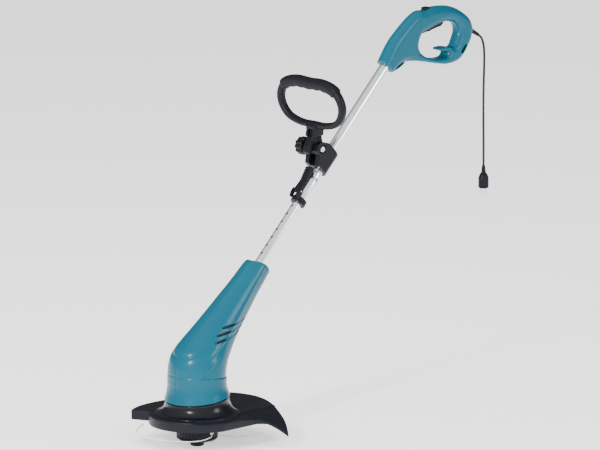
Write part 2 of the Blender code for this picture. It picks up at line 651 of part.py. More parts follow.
def loop_sections(path, radii, closed):
    """Elliptical rings square to a path in the loop's plane; radii are (in the plane, across it)."""
    pts = np.array(path, dtype=float)
    if closed:
        slope = np.roll(pts, -1, axis=0) - np.roll(pts, 1, axis=0)
    else:
        slope = np.gradient(pts, axis=0)
    slope /= np.linalg.norm(slope, axis=1)[:, None]
    rings = []
    for (a, u), (da, du), (flat, deep) in zip(pts, slope, radii):
        centre = loop_point(a, u)
        normal = ACROSS * du - LOOP_UP * da
        ring = []
        for angle in np.linspace(0.0, 2 * math.pi, 10, endpoint=False):
            ring.append(tuple(centre + normal * (flat * math.cos(angle)) + LOOP_OUT * (deep * math.sin(angle))))
        rings.append(ring)
    return rings


right_side = [(a * LOOP_HALF_WIDTH, u * LOOP_HALF_HEIGHT) for a, u in LOOP_PATH]
left_side = [(-a, u) for a, u in reversed(right_side[1:-1])]
loop_path = smooth_line(right_side + left_side, 34, closed=True)
loop_radii = []
for a, u in loop_path:
    height = u / LOOP_HALF_HEIGHT
    loop_radii.append((8.0 + 1.2 * height, 8.5))
front_handle = loft("front_handle", loop_sections(loop_path, loop_radii, True), BLACK)

NECK_OUTLINE = [(10.5, 20.0), (9.5, 27.0), (11.0, 38.0), (19.0, 46.5), (-18.0, 52.0), (-16.0, 40.0),
                (-19.0, 24.0), (-29.0, 6.0), (-31.0, -4.0), (-26.0, -10.0), (-15.2, -4.0)]
NECK_OUTLINE += arc(0.0, 0.0, 15.9, 190.0, 80.0, 10)
neck = plate("cutter_neck", [NECK_OUTLINE], 27.0, BLACK, at(*bolt_place, TURN_XY_TO_XZ), cutter=True)
EYE_OUTLINE = [(9.0, 24.0), (-12.0, 24.0)] + arc(0.0, 0.0, 13.5, 150.0, 390.0, 16)
eye = plate("cutter_eye", [EYE_OUTLINE], 2 * CHEEK_IN - 0.8, BLACK, at(*bolt_place, TURN_XY_TO_XZ), cutter=True)
join(front_handle, neck, eye)
cut(front_handle, bolt_hole)

top_start = [k for k, (a, u) in enumerate(loop_path) if u > 0.72 * LOOP_HALF_HEIGHT]
right_run = [k for k in top_start if loop_path[k][0] >= 0.0]
left_run = [k for k in top_start if loop_path[k][0] < 0.0]
grip_path = [loop_path[k] for k in left_run + right_run]
bore_radii = [(loop_radii[k][0] + GAP, loop_radii[k][1] + GAP) for k in left_run + right_run]
skin_radii = [(flat + 3.0, deep + 2.4) for flat, deep in bore_radii]
skin = loop_sections(grip_path, skin_radii, False)
bore_rings = loop_sections(grip_path, bore_radii, False)
smooth(loft("handle_grip", skin + bore_rings[::-1], RUBBER), 50.0)

# ---------------------------------------------------------------- rear handle
OUTER_POINTS = [(531.0, 724.0), (558.0, 761.0), (586.0, 785.0), (610.0, 802.0), (628.0, 812.0),
                (640.0, 815.5), (652.0, 814.5), (674.0, 818.0), (703.0, 817.0), (732.0, 812.0),
                (761.0, 798.0), (783.0, 781.0), (793.0, 762.0), (791.0, 745.0), (779.0, 724.0),
                (764.0, 706.0), (745.0, 697.0), (712.0, 694.5), (674.0, 701.5), (645.0, 708.5),
                (616.0, 714.0), (593.0, 714.5), (573.0, 707.5), (557.0, 697.5)]
OPENING_POINTS = [(645.0, 767.0), (637.5, 756.0), (635.0, 741.0), (642.0, 725.0), (660.0, 714.0),
                  (683.0, 708.5), (706.0, 707.0), (716.5, 711.0), (717.5, 718.5), (711.0, 721.8),
                  (699.0, 723.5), (696.5, 726.0), (699.0, 728.8), (712.0, 729.5), (728.0, 727.0),
                  (737.0, 727.0), (744.0, 740.0), (750.0, 754.0), (749.0, 766.0), (740.0, 776.0),
                  (725.0, 781.0), (709.0, 782.0), (680.0, 776.5)]
HOOK_SLOT = [(766.0, 731.0), (770.0, 725.0), (760.0, 712.0), (750.0, 711.0), (754.0, 720.0)]

socket_bore = rod("cutter_socket_bore", UPPER_TUBE_R + GAP, 100.0, BLACK, on_shaft(754.6), 40, cutter=True)
socket_trim = block("cutter_socket_trim", (60.0, 90.0, 90.0), BLACK,
                    on_shaft(HANDLE_SOCKET_T - 30.0, 0.0, 0.0, TURN_XY_TO_SHAFT), cutter=True)
TRIGGER_PIVOT = (656.0, 781.0)
TRIGGER_HALF = 5.0
trigger_pocket = plate("cutter_trigger_pocket", [[(643.0, 755.0), (716.0, 755.0), (716.0, 800.0), (650.0, 792.0),
                                                  (643.0, 784.0)]], 2 * TRIGGER_HALF + 1.2, BLACK,
                       at(0.0, 0.0, 0.0, TURN_XY_TO_XZ), cutter=True)
switch_pocket = block("cutter_switch_pocket", (38.0, 18.0, 12.4), BLACK, at(692.0, 0.0, 804.8), cutter=True)
button_hole = block("cutter_button_hole", (16.8, 12.8, 30.0), BLACK, at(662.0, 0.0, 817.0), cutter=True)
pivot_hole = rod("cutter_pivot_hole", 1.8, 25.0, BLACK, at(TRIGGER_PIVOT[0], 0.0, TRIGGER_PIVOT[1], TURN_Z_TO_Y),
                 16, cutter=True)
CORD_DIP = math.radians(31.0)
relief_turn = Matrix.Rotation(math.pi / 2 + CORD_DIP, 4, "Y")
RELIEF_FOOT = Vector((784.0, 0.0, 760.0))
relief_bore = rod("cutter_relief_bore", 6.4, 24.0, BLACK,
                  Matrix.Translation(RELIEF_FOOT) @ relief_turn @ Matrix.Translation((0.0, 0.0, 12.0)), 24,
                  cutter=True)

HANDLE_SCREWS = [(576.0, 742.0), (622.0, 780.0), (730.0, 795.0), (772.0, 740.0)]
for name, side in (("rear_handle_left", -1.0), ("rear_handle_right", 1.0)):
    half = plate(name, [smooth_line(OUTER_POINTS, 48, closed=True), smooth_line(OPENING_POINTS, 46, closed=True),
                        HOOK_SLOT], 2 * GRIP_HALF, TEAL, at(0.0, 0.0, 0.0, TURN_XY_TO_XZ), 0.0)
    away = block(f"cutter_away_{name}", (320.0, 40.0, 200.0), BLACK,
                 at(660.0, side * (SEAM - 20.0), 757.0), cutter=True)
    cut(half, away, socket_bore, socket_trim, trigger_pocket, switch_pocket, button_hole, pivot_hole, relief_bore)
    for number, (x, z) in enumerate(HANDLE_SCREWS):
        if side > 0:
            sink = rod(f"cutter_sink_{number}", 4.0, 8.0, BLACK, at(x, GRIP_HALF, z, TURN_Z_TO_Y), 20, cutter=True)
            through = rod(f"cutter_through_{number}", 1.9, 60.0, BLACK, at(x, 0.0, z, TURN_Z_TO_Y), 12, cutter=True)
            cut(half, sink, through)

for number, (x, z) in enumerate(HANDLE_SCREWS):
    turned(f"handle_screw_{number + 1}", screw_profile(3.6, 1.6, 12.0), STEEL,
           at(x, GRIP_HALF - 4.0 + GAP, z, TURN_Z_TO_Y), 10, ring=False)

TRIGGER_OUTLINE = ([(650.5, 766.0), (662.0, 766.0), (676.0, 769.5), (690.0, 772.5), (703.0, 774.0),
                    (710.0, 778.0), (712.5, 785.0), (711.0, 790.5), (690.0, 788.0)]
                   + arc(TRIGGER_PIVOT[0], TRIGGER_PIVOT[1], 5.2, 80.0, 180.0, 5))
trigger = plate("trigger", [TRIGGER_OUTLINE], 2 * TRIGGER_HALF, BLACK, at(0.0, 0.0, 0.0, TURN_XY_TO_XZ), 0.8)
cut(trigger, pivot_hole)
rod("trigger_pin", 1.5, 24.0, STEEL, at(TRIGGER_PIVOT[0], 0.0, TRIGGER_PIVOT[1], TURN_Z_TO_Y), 16)
block("power_switch", (34.0, 15.0, 9.0), BLACK, at(692.5, 0.0, 805.6), 0.5)
block("lock_off_button", (16.0, 12.0, 13.0), BLACK, at(662.0, 0.0, 813.5), 1.6)

# ---------------------------------------------------------------- cord
RELIEF_LONG = 40.0
relief_profile = [(0.0, RELIEF_LONG), (3.6, RELIEF_LONG), (4.6, 26.0), (5.6, 12.0), (6.0, 1.0), (0.0, 1.0)]
turned("strain_relief", relief_profile, RUBBER, Matrix.Translation(RELIEF_FOOT) @ relief_turn, 24, ring=False)
relief_way = Vector((math.cos(CORD_DIP), 0.0, -math.sin(CORD_DIP)))
CORD_START = RELIEF_FOOT + relief_way * (RELIEF_LONG + GAP)
CORD_ROUTE = [(0.0, 0.0), (4.3, -2.9), (8.2, -6.6), (11.8, -12.0), (14.6, -19.0), (16.6, -27.5), (17.8, -38.0),
              (18.2, -50.0), (18.0, -66.0), (17.4, -84.0), (16.7, -104.0), (16.2, -126.0), (16.0, -150.0),
              (16.1, -176.0), (16.3, -202.0), (16.6, -230.0), (16.8, -255.0), (16.8, -278.0)]


def cord_points(count):
    """The cord's middle line, hanging from the strain relief, trimmed to its length."""
    fine = np.array(smooth_line([(CORD_START.x + x, 0.0, CORD_START.z + z) for x, z in CORD_ROUTE], 400))
    steps = np.linalg.norm(np.diff(fine, axis=0), axis=1)
    run = np.concatenate(([0.0], np.cumsum(steps)))
    wanted = np.linspace(0.0, min(CORD_LENGTH, run[-1]), count)
    return [tuple(float(np.interp(w, run, fine[:, k])) for k in range(3)) for w in wanted]


cord_line = cord_points(27)
bent_bar("power_cord", cord_line, CORD_R, CORD_SHEATH, 2)
cord_end = Vector(cord_line[-1])
plug = turned("power_plug", [(0.0, -GAP), (3.6, -GAP), (4.6, -14.0), (9.0, -20.0), (11.0, -26.0), (11.0, -46.0),
                             (9.5, -48.0), (0.0, -48.0)], BLACK, at(*cord_end), 20, ring=False)
for side in (-1.0, 1.0):
    join(plug, rod(f"cutter_plug_pin_{side:.0f}", 2.0, 22.0, STEEL,
                   at(cord_end.x, side * 5.5, cord_end.z - 56.0), 12, cutter=True))
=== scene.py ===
import math

import bmesh
import bpy
import numpy as np
from mathutils import Matrix, Vector


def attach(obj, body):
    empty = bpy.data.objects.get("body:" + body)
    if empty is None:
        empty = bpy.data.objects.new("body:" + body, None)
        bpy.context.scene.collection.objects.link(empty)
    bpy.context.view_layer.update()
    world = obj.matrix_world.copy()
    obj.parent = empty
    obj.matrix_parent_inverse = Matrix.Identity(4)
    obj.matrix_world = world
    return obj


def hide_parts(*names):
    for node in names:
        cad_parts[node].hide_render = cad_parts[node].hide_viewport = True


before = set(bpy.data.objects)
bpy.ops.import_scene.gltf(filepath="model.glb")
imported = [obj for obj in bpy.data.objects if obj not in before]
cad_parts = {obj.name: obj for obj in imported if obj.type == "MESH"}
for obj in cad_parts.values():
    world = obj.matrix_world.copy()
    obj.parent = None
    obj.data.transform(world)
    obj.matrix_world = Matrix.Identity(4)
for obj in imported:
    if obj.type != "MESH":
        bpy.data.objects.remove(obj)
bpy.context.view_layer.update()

# %% [markdown]
# # A string trimmer, dressed piece by piece
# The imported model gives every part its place: the shaft leans at one angle, and nearly everything
# is either turned round the shaft, turned round the spool's upright axis, or drawn flat in the
# machine's middle plane. So the lesson works in three small frames and in millimetres, and turns
# them into metres only when a mesh is made.

# %% Sizes that place everything
MM = 0.001
ANGLE = math.radians(44.4)
ALONG = np.array((math.cos(ANGLE), 0.0, math.sin(ANGLE)))
UPWARD = np.array((-math.sin(ANGLE), 0.0, math.cos(ANGLE)))
ACROSS = np.array((0.0, 1.0, 0.0))
FOOT = np.array((0.0, 0.0, 178.0))
ORIGIN = np.zeros(3)
EAST = np.array((1.0, 0.0, 0.0))
ZENITH = np.array((0.0, 0.0, 1.0))
SHAFT = (FOOT, UPWARD, -ACROSS, ALONG)
UPRIGHT = (ORIGIN, EAST, ACROSS, ZENITH)
SIDEWAYS = (ORIGIN, EAST, -ZENITH, ACROSS)


def on_shaft(t, p=0.0, y=0.0):
    """The point t along the shaft, p above its axis and y across it: foot + t along + p upward + y."""
    return FOOT + ALONG * t + UPWARD * p + ACROSS * y


def moved(axes, shift):
    """The same frame with its origin shifted, in mm."""
    return (axes[0] + np.asarray(shift, float), *axes[1:])


def placed(axes, x, y, z):
    """Points whose coordinates are counted along the three directions of a frame."""
    origin, a, b, c = axes
    return origin + x[..., None] * a + y[..., None] * b + z[..., None] * c


# %% [markdown]
# ## Camera, floor and light
# A very long lens thirty metres away keeps the shaft straight and the loop handle undistorted, which
# is how a product is pictured. The floor is a large pale disc and the light is three soft panels in
# a bright room: polished tubes only look like metal when they have something pale to mirror.

# %% Camera
AIM = Vector((0.297, 0.0, 0.415))
TURN = math.radians(-45.0)
RISE = math.radians(12.0)
DISTANCE = 30.75
back = Vector((math.sin(TURN) * math.cos(RISE), -math.cos(TURN) * math.cos(RISE), math.sin(RISE)))
lens = bpy.data.cameras.new("long_lens")
lens.lens = 900.0
lens.clip_start = 0.1
lens.clip_end = 100.0
camera = bpy.data.objects.new("camera", lens)
camera.location = AIM + back * DISTANCE
camera.rotation_euler = (-back).to_track_quat("-Z", "Y").to_euler()
bpy.context.scene.collection.objects.link(camera)
bpy.context.scene.camera = camera
print("camera at", [round(c, 2) for c in camera.location])


# %% Soft panels and a pale room
def panel(name, place, size, power, target=(0.25, 0.0, 0.35), mirrored=True):
    """A rectangular area light at a place, facing the target; only some panels show in gloss."""
    light = bpy.data.lights.new(name, "AREA")
    light.shape = "RECTANGLE"
    light.size, light.size_y = size
    light.energy = power
    holder = bpy.data.objects.new(name, light)
    holder.location = place
    holder.rotation_euler = (Vector(target) - Vector(place)).to_track_quat("-Z", "Y").to_euler()
    holder.visible_glossy = mirrored
    bpy.context.scene.collection.objects.link(holder)
    return holder


panel("key_light", (-2.8, -0.8, 1.9), (0.35, 0.9), 110.0)
panel("side_light", (1.4, -2.8, 1.6), (0.9, 1.4), 36.0)
panel("top_light", (0.3, 0.8, 3.4), (2.4, 2.4), 90.0, mirrored=False)
panel("front_fill", (-1.6, -2.8, 1.2), (2.0, 2.0), 40.0, mirrored=False)
room = bpy.data.worlds.new("pale_room")
room.use_nodes = True
tree = room.node_tree
direction = tree.nodes.new("ShaderNodeTexCoord")
facing = tree.nodes.new("ShaderNodeVectorMath")
facing.operation = "DOT_PRODUCT"
facing.inputs[1].default_value = (-0.80, -0.40, 0.45)
bright = tree.nodes.new("ShaderNodeMapRange")
bright.inputs["From Min"].default_value = -0.35
bright.inputs["From Max"].default_value = 0.75
bright.inputs["To Min"].default_value = 0.16
bright.inputs["To Max"].default_value = 1.25
tree.links.new(direction.outputs["Generated"], facing.inputs[0])
tree.links.new(facing.outputs["Value"], bright.inputs["Value"])
tree.links.new(bright.outputs["Result"], tree.nodes["Background"].inputs["Strength"])
tree.nodes["Background"].inputs["Color"].default_value = (1.0, 1.0, 1.0, 1.0)
bpy.context.scene.world = room

# %% [markdown]
# ## Meshes from grids
# Every new surface here is a function of two parameters worked out on a whole grid at once. One
# helper turns a grid of points into faces, closing it round either direction, and one more welds
# the poles, points the faces outwards and hands the piece to its body.


# %% From a grid to a mesh
def grid_faces(rows, cols, wrap_rows=False, wrap_cols=False, start=0):
    """Quads between neighbouring rows and columns; a wrapped direction joins its end to its start."""
    r = np.arange(rows if wrap_rows else rows - 1)[:, None]
    c = np.arange(cols if wrap_cols else cols - 1)[None, :]
    r2 = (r + 1) % rows
    c2 = (c + 1) % cols
    quads = np.stack([r * cols + c, r * cols + c2, r2 * cols + c2, r2 * cols + c], axis=-1)
    return start + quads.reshape(-1, 4)


def make_object(name, points, faces):
    """An object from points in mm and lists of corner numbers, welded and facing outwards."""
    mesh = bpy.data.meshes.new(name)
    mesh.from_pydata((np.asarray(points, float).reshape(-1, 3) * MM).tolist(), [], faces)
    shape = bmesh.new()
    shape.from_mesh(mesh)
    bmesh.ops.remove_doubles(shape, verts=shape.verts, dist=2e-7)
    bmesh.ops.recalc_face_normals(shape, faces=shape.faces)
    shape.to_mesh(mesh)
    shape.free()
    made = bpy.data.objects.new(name, mesh)
    bpy.context.scene.collection.objects.link(made)
    return made


def from_grid(name, grid, wrap_rows=False, wrap_cols=True, caps=False):
    """An object from a (rows, columns, 3) grid in mm, with flat ends where caps are asked for."""
    rows, cols = grid.shape[:2]
    faces = grid_faces(rows, cols, wrap_rows, wrap_cols).tolist()
    if caps:
        faces.append(list(range(cols))[::-1])
        faces.append(list(range((rows - 1) * cols, rows * cols)))
    return make_object(name, grid, faces)


def curve_through(points, where, closed=False):
    """Catmull-Rom curve: point i sits at parameter i, and each span is a cubic whose ends lean
    along the line between the neighbours on either side."""
    pts = np.asarray(points, float)
    pts = pts[:, None] if pts.ndim == 1 else pts
    where = np.atleast_1d(np.asarray(where, float))
    n = len(pts)
    span = np.floor(where).astype(int)
    if closed:
        span = span % n
        a, b, c, d = (pts[(span + k) % n] for k in (-1, 0, 1, 2))
        s = (where - np.floor(where))[:, None]
    else:
        span = np.clip(span, 0, n - 2)
        s = (where - span)[:, None]
        ends = np.concatenate([2 * pts[:1] - pts[1:2], pts, 2 * pts[-1:] - pts[-2:-1]])
        a, b, c, d = (ends[span + k] for k in (0, 1, 2, 3))
    out = 0.5 * (2 * b + (c - a) * s + (2 * a - 5 * b + 4 * c - d) * s ** 2 + (3 * b - a - 3 * c + d) * s ** 3)
    return out[:, 0] if out.shape[1] == 1 else out


def fine_line(points, count, closed=False):
    """Points spaced evenly along the smooth curve through the given ones."""
    n = len(points)
    dense = curve_through(points, np.linspace(0.0, n if closed else n - 1, 40 * n), closed)
    run = np.concatenate(([0.0], np.cumsum(np.linalg.norm(np.diff(dense, axis=0), axis=1))))
    wanted = np.linspace(0.0, run[-1], count, endpoint=not closed)
    return np.stack([np.interp(wanted, run, dense[:, k]) for k in range(dense.shape[1])], axis=1)


def ease(x):
    """0 below 0, 1 above 1, and 3x^2 - 2x^3 between, which starts and ends level."""
    x = np.clip(x, 0.0, 1.0)
    return x * x * (3.0 - 2.0 * x)


# %% Turned pieces and swept pieces
def fillet(profile, radius, steps=4):
    """An open or closed line of 2D points with each corner replaced by an arc that touches both sides."""
    pts = [np.asarray(p, float) for p in profile]
    out = [pts[0]]
    for before, corner, after in zip(pts[:-2], pts[1:-1], pts[2:]):
        out.extend(corner_arc(before, corner, after, radius, steps))
    out.append(pts[-1])
    return np.array(out)


def corner_arc(before, corner, after, radius, steps):
    """The arc of one corner: it starts radius/tan(half angle) before the corner, or as far as fits."""
    u = (before - corner) / np.linalg.norm(before - corner)
    v = (after - corner) / np.linalg.norm(after - corner)
    cosine = float(np.clip(u @ v, -1.0, 1.0))
    if radius <= 0.0 or cosine < -0.999:
        return [corner]
    half = math.acos(cosine) / 2
    room = 0.48 * min(np.linalg.norm(before - corner), np.linalg.norm(after - corner))
    reach = min(radius / math.tan(half), room)
    centre = corner + (u + v) / np.linalg.norm(u + v) * reach / math.cos(half)
    first = corner + u * reach - centre
    last = corner + v * reach - centre
    share = np.linspace(0.0, 1.0, steps + 1)[:, None]
    way = first * (1 - share) + last * share
    way *= np.linalg.norm(first) / np.linalg.norm(way, axis=1)[:, None]
    return list(centre + way)


def rounded_loop(points, radius, steps=4):
    """A closed outline with all its corners rounded."""
    pts = [np.asarray(p, float) for p in points]
    n = len(pts)
    out = []
    for i in range(n):
        out.extend(corner_arc(pts[i - 1], pts[i], pts[(i + 1) % n], radius, steps))
    return np.array(out)


def turned(name, profile, axes, radius=0.6, sides=96, ring=False, flutes=None):
    """A profile of (radius, height) carried round an axis: x = r cos, y = r sin, z = height.
    Corners are rounded first. flutes(angle, r, z) may change the radius."""
    line = rounded_loop(profile, radius) if ring else fillet(profile, radius)
    angles = np.linspace(0.0, 2 * math.pi, sides, endpoint=False)[None, :]
    r = np.repeat(line[:, :1], sides, axis=1)
    z = np.repeat(line[:, 1:], sides, axis=1)
    if flutes is not None:
        r = flutes(angles, r, z)
    grid = placed(axes, r * np.cos(angles), r * np.sin(angles), z)
    return from_grid(name, grid, wrap_rows=ring)


def swept(name, line, across, along_plane, sides=16, caps=True):
    """Ellipses square to a line: centre + a cos(angle) first + b sin(angle) second, where first lies
    in the plane of the line and second is that plane's normal."""
    line = np.asarray(line, float)
    way = np.gradient(line, axis=0)
    way /= np.linalg.norm(way, axis=1)[:, None]
    second = np.asarray(along_plane, float)[None, :] * np.ones((len(line), 1))
    second -= np.sum(second * way, axis=1)[:, None] * way
    second /= np.linalg.norm(second, axis=1)[:, None]
    first = np.cross(second, way)
    angles = np.linspace(0.0, 2 * math.pi, sides, endpoint=False)[None, :, None]
    size = np.broadcast_to(np.asarray(across, float), (len(line), 2))
    grid = (line[:, None, :] + size[:, None, :1] * np.cos(angles) * first[:, None, :]
            + size[:, None, 1:] * np.sin(angles) * second[:, None, :])
    return from_grid(name, grid, caps=caps)


def arc_points(centre, radius, start, end, count):
    """Points on a circle between two angles in degrees."""
    return [(centre[0] + radius * math.cos(a), centre[1] + radius * math.sin(a))
            for a in np.radians(np.linspace(start, end, count))]


def moulded_plate(name, outline, half, edge, axes, steps=5):
    """A flat outline given its thickness with quarter-round edges: going round the edge by an angle,
    the outline moves in by edge (1 - cos) while the height reaches half - edge (1 - sin)."""
    line = np.asarray(outline, float)
    way = np.roll(line, -1, axis=0) - np.roll(line, 1, axis=0)
    way /= np.linalg.norm(way, axis=1)[:, None]
    area = np.sum(line[:, 0] * np.roll(line[:, 1], -1) - line[:, 1] * np.roll(line[:, 0], -1))
    inward = np.stack([-way[:, 1], way[:, 0]], axis=1) * (1.0 if area > 0 else -1.0)
    turn = np.linspace(0.0, math.pi / 2, steps)
    inset = edge * (1.0 - np.cos(turn))
    height = half - edge * (1.0 - np.sin(turn))
    inset = np.concatenate([inset[::-1], inset])
    height = np.concatenate([-height[::-1], height])
    flat_xy = line[None] + inset[:, None, None] * inward[None]
    grid = placed(axes, flat_xy[..., 0], flat_xy[..., 1], np.repeat(height[:, None], len(line), axis=1))
    made = from_grid(name, grid, caps=True)
    shape = bmesh.new()
    shape.from_mesh(made.data)
    big = [face for face in shape.faces if len(face.verts) > 4]
    bmesh.ops.triangulate(shape, faces=big)
    shape.to_mesh(made.data)
    shape.free()
    return made


# %% Cutting, joining and softening
def applied(piece):
    """The piece with its modifiers made part of its mesh."""
    bpy.context.view_layer.update()
    ready = piece.evaluated_get(bpy.context.evaluated_depsgraph_get())
    mesh = bpy.data.meshes.new_from_object(ready)
    piece.modifiers.clear()
    piece.data = mesh
    return piece


def combine(piece, tools, operation="DIFFERENCE"):
    """Cut the tools from the piece, or join them on with UNION; the tools are used up."""
    for tool in tools:
        step = piece.modifiers.new("combine", "BOOLEAN")
        step.operation = operation
        step.object = tool
    applied(piece)
    for tool in tools:
        bpy.data.objects.remove(tool, do_unlink=True)
    return piece


def softened(piece, width, angle=35.0, segments=2):
    """The piece with its sharp edges rounded by a bevel of that width in mm."""
    step = piece.modifiers.new("edges", "BEVEL")
    step.width = width * MM
    step.segments = segments
    step.limit_method = "ANGLE"
    step.angle_limit = math.radians(angle)
    return applied(piece)


def block(name, size, centre, axes=UPRIGHT):
    """A box as a cutter: eight corners from a grid of signs, counted in a frame's directions."""
    signs = np.array([(x, y, z) for z in (-1, 1) for x, y in ((-1, -1), (1, -1), (1, 1), (-1, 1))], float)
    corners = signs * np.asarray(size, float) / 2 + np.asarray(centre, float)
    grid = placed(axes, corners[:, 0], corners[:, 1], corners[:, 2]).reshape(2, 4, 3)
    return from_grid(name, grid, caps=True)


def rod(name, radius, low, high, axes, sides=48):
    """A plain round bar between two heights on a frame's third direction."""
    return turned(name, [(0.0, high), (radius, high), (radius, low), (0.0, low)], axes, 0.0, sides)


PIECES = []


def dress(piece, body, finish, nodes=(), crease=38.0):
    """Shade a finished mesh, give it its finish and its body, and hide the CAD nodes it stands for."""
    piece.data.shade_smooth()
    piece.data.set_sharp_from_angle(angle=math.radians(crease))
    piece.data.materials.clear()
    piece.data.materials.append(finish)
    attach(piece, body)
    if nodes:
        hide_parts(*nodes)
    piece.data.calc_loop_triangles()
    PIECES.append((piece.name, len(piece.data.loop_triangles)))
    return piece


# %% [markdown]
# ## Finishes
# Moulded plastic, rubber and drawn metal all differ in three ways: how the colour drifts, how the
# gloss drifts, and how fine the skin is. So each finish is a handful of noises, written as sums and
# products of sockets. The wrapper below lets ordinary arithmetic add the Math nodes.


# %% Socket arithmetic
def plug(socket, value):
    """Link a wrapped socket, or set a plain number or colour."""
    if isinstance(value, Value):
        socket.id_data.links.new(value.socket, socket)
    else:
        socket.default_value = value


class Value:
    """A number, colour or vector that changes over a surface."""

    def __init__(self, socket):
        self.socket = socket

    def maths(self, operation, first, second):
        """One Math node on two terms, of which at least one is a socket."""
        node = self.socket.id_data.nodes.new("ShaderNodeMath")
        node.operation = operation
        plug(node.inputs[0], first)
        plug(node.inputs[1], second)
        return Value(node.outputs[0])

    def __add__(self, other):
        return self.maths("ADD", self, other)

    def __radd__(self, other):
        return self.maths("ADD", other, self)

    def __sub__(self, other):
        return self.maths("SUBTRACT", self, other)

    def __rsub__(self, other):
        return self.maths("SUBTRACT", other, self)

    def __mul__(self, other):
        return self.maths("MULTIPLY", self, other)

    def __rmul__(self, other):
        return self.maths("MULTIPLY", other, self)


class Finish:
    """A material with one Principled shader; uniform values go straight onto the shader's sockets."""

    def __init__(self, name, **fixed):
        self.material = bpy.data.materials.new(name)
        self.material.use_nodes = True
        self.tree = self.material.node_tree
        self.shader = self.tree.nodes["Principled BSDF"]
        for socket, value in fixed.items():
            self.shader.inputs[socket.replace("_", " ")].default_value = value

    def node(self, kind, settings=None, values=None, output=0):
        """Any node: its settings first, then its sockets' values or links by name or number."""
        made = self.tree.nodes.new("ShaderNode" + kind)
        for key, setting in (settings or {}).items():
            setattr(made, key, setting)
        for key, value in (values or {}).items():
            plug(made.inputs[key], value)
        return Value(made.outputs[output])

    def place(self, scale=(1.0, 1.0, 1.0), turn=(0.0, 0.0, 0.0)):
        """The object's own coordinates in metres, turned and stretched."""
        own = self.node("TexCoord", output=3)
        return self.node("Mapping", {"vector_type": "POINT"}, {"Vector": own, "Rotation": turn, "Scale": scale})

    def noise(self, size, where=None, detail=3.0):
        """Noise whose blobs are about size metres across, from 0 to 1."""
        return self.node("TexNoise", None, {"Vector": where or self.place(), "Scale": 1.0 / size,
                                            "Detail": detail})

    def mixed(self, share, first, second):
        """A colour between two: first at share 0 and second at share 1."""
        return self.node("Mix", {"data_type": "RGBA"}, {0: share, 6: first, 7: second}, output=2)

    def colour(self, value):
        plug(self.shader.inputs["Base Color"], value)

    def rough(self, value):
        plug(self.shader.inputs["Roughness"], value)

    def skin(self, height, depth):
        """A bump of that height in metres."""
        bump = self.node("Bump", None, {"Height": height, "Strength": 1.0, "Distance": depth})
        plug(self.shader.inputs["Normal"], bump)


# %% Moulded plastic
def tint(colour, factor):
    """A colour made lighter or darker."""
    return (*(min(1.0, c * factor) for c in colour), 1.0)


def plastic(name, colour, rough, grain=0.0006, depth=0.00002, drift=0.10, coat=0.0, mask=None,
            painted_shade_colour=(0.004, 0.004, 0.005, 1.0)):
    """Pigment drifts slowly, the mould's grain is a fine bump, and handling varies the gloss.
    Where a mask attribute is named, its painted shade colour shows in its place: the dark inside of a hole, painted
    onto a shallow groove."""
    made = Finish(name, Coat_Roughness=0.15, Specular_IOR_Level=0.16)
    slow = made.noise(0.06)
    fine = made.noise(grain, detail=2.0)
    tone = made.mixed(slow, tint(colour, 1.0 - drift), tint(colour, 1.0 + drift))
    rub = made.noise(0.012, detail=4.0)
    # painted shade: the mask swaps in a near-black colour where the vent slots are
    if mask:
        cover = made.node("Attribute", {"attribute_name": mask}, output=2)
        tone = made.mixed(cover, tone, painted_shade_colour)
        made.rough(rough + 0.10 * rub - 0.05 + 0.45 * cover)
    else:
        made.rough(rough + 0.10 * rub - 0.05)
    made.colour(tone)
    made.shader.inputs["Coat Weight"].default_value = coat
    made.skin(fine, depth)
    return made.material


# %% Drawn and plated metal
def metal(name, colour, rough, streak=None, depth=0.000004, drift=0.06):
    """Streaks are a noise stretched along the drawing direction; without one it is an even satin."""
    made = Finish(name, Metallic=1.0)
    where = made.place(*streak) if streak else made.place((900.0, 900.0, 900.0))
    lines = made.node("TexNoise", None, {"Vector": where, "Scale": 1.0, "Detail": 3.0})
    stain = made.noise(0.03)
    made.colour(made.mixed(stain, tint(colour, 1.0 - drift), tint(colour, 1.0 + drift)))
    made.rough(rough + 0.12 * lines + 0.05 * stain - 0.08)
    made.skin(lines, depth)
    return made.material


SHAFT_STREAK = ((25.0, 2600.0, 2600.0), (0.0, ANGLE, 0.0))
TEAL_COLOUR = (0.0, 0.080, 0.125)
BLACK_COLOUR = (0.003, 0.0035, 0.006)
# the teal shell's slot mask paints shade into the vent slots, near-black for the dark inside of the housing
TEAL = plastic("teal_shell", TEAL_COLOUR, 0.30, coat=0.14, mask="slot_painted_shade", drift=0.06)
TEAL_GRIP = plastic("teal_grip", TEAL_COLOUR, 0.34, grain=0.0009, depth=0.00003, coat=0.14, drift=0.06)
GLOSS_BLACK = plastic("gloss_black", BLACK_COLOUR, 0.26, coat=0.22)
SATIN_BLACK = plastic("satin_black", (0.004, 0.0046, 0.007), 0.42, grain=0.0008, depth=0.00005)
GUARD_BLACK = plastic("guard_black", (0.006, 0.0068, 0.011), 0.40, grain=0.0007, depth=0.00006, drift=0.14)
RUBBER = plastic("soft_rubber", (0.004, 0.0046, 0.007), 0.50, grain=0.0010, depth=0.00008)
SHEATH = plastic("cord_sheath", (0.018, 0.018, 0.022), 0.50, grain=0.0005)
WHITE = plastic("white_plastic", (0.72, 0.72, 0.68), 0.45)
NYLON = plastic("nylon_line", (0.88, 0.89, 0.90), 0.30, grain=0.0004)
CARBON = plastic("brush_carbon", (0.03, 0.03, 0.03), 0.60)
ALUMINIUM = metal("drawn_aluminium", (0.86, 0.88, 0.90), 0.20, SHAFT_STREAK)
PLATED = metal("zinc_plated", (0.72, 0.73, 0.74), 0.28)
SPRING = metal("spring_wire", (0.45, 0.45, 0.47), 0.35)
COPPER = metal("wound_copper", (0.60, 0.24, 0.10), 0.35, ((60.0, 60.0, 4000.0), (0.0, 0.0, 0.0)))
IRON = metal("motor_iron", (0.25, 0.25, 0.26), 0.45, ((20.0, 20.0, 2200.0), (0.0, 0.0, 0.0)))
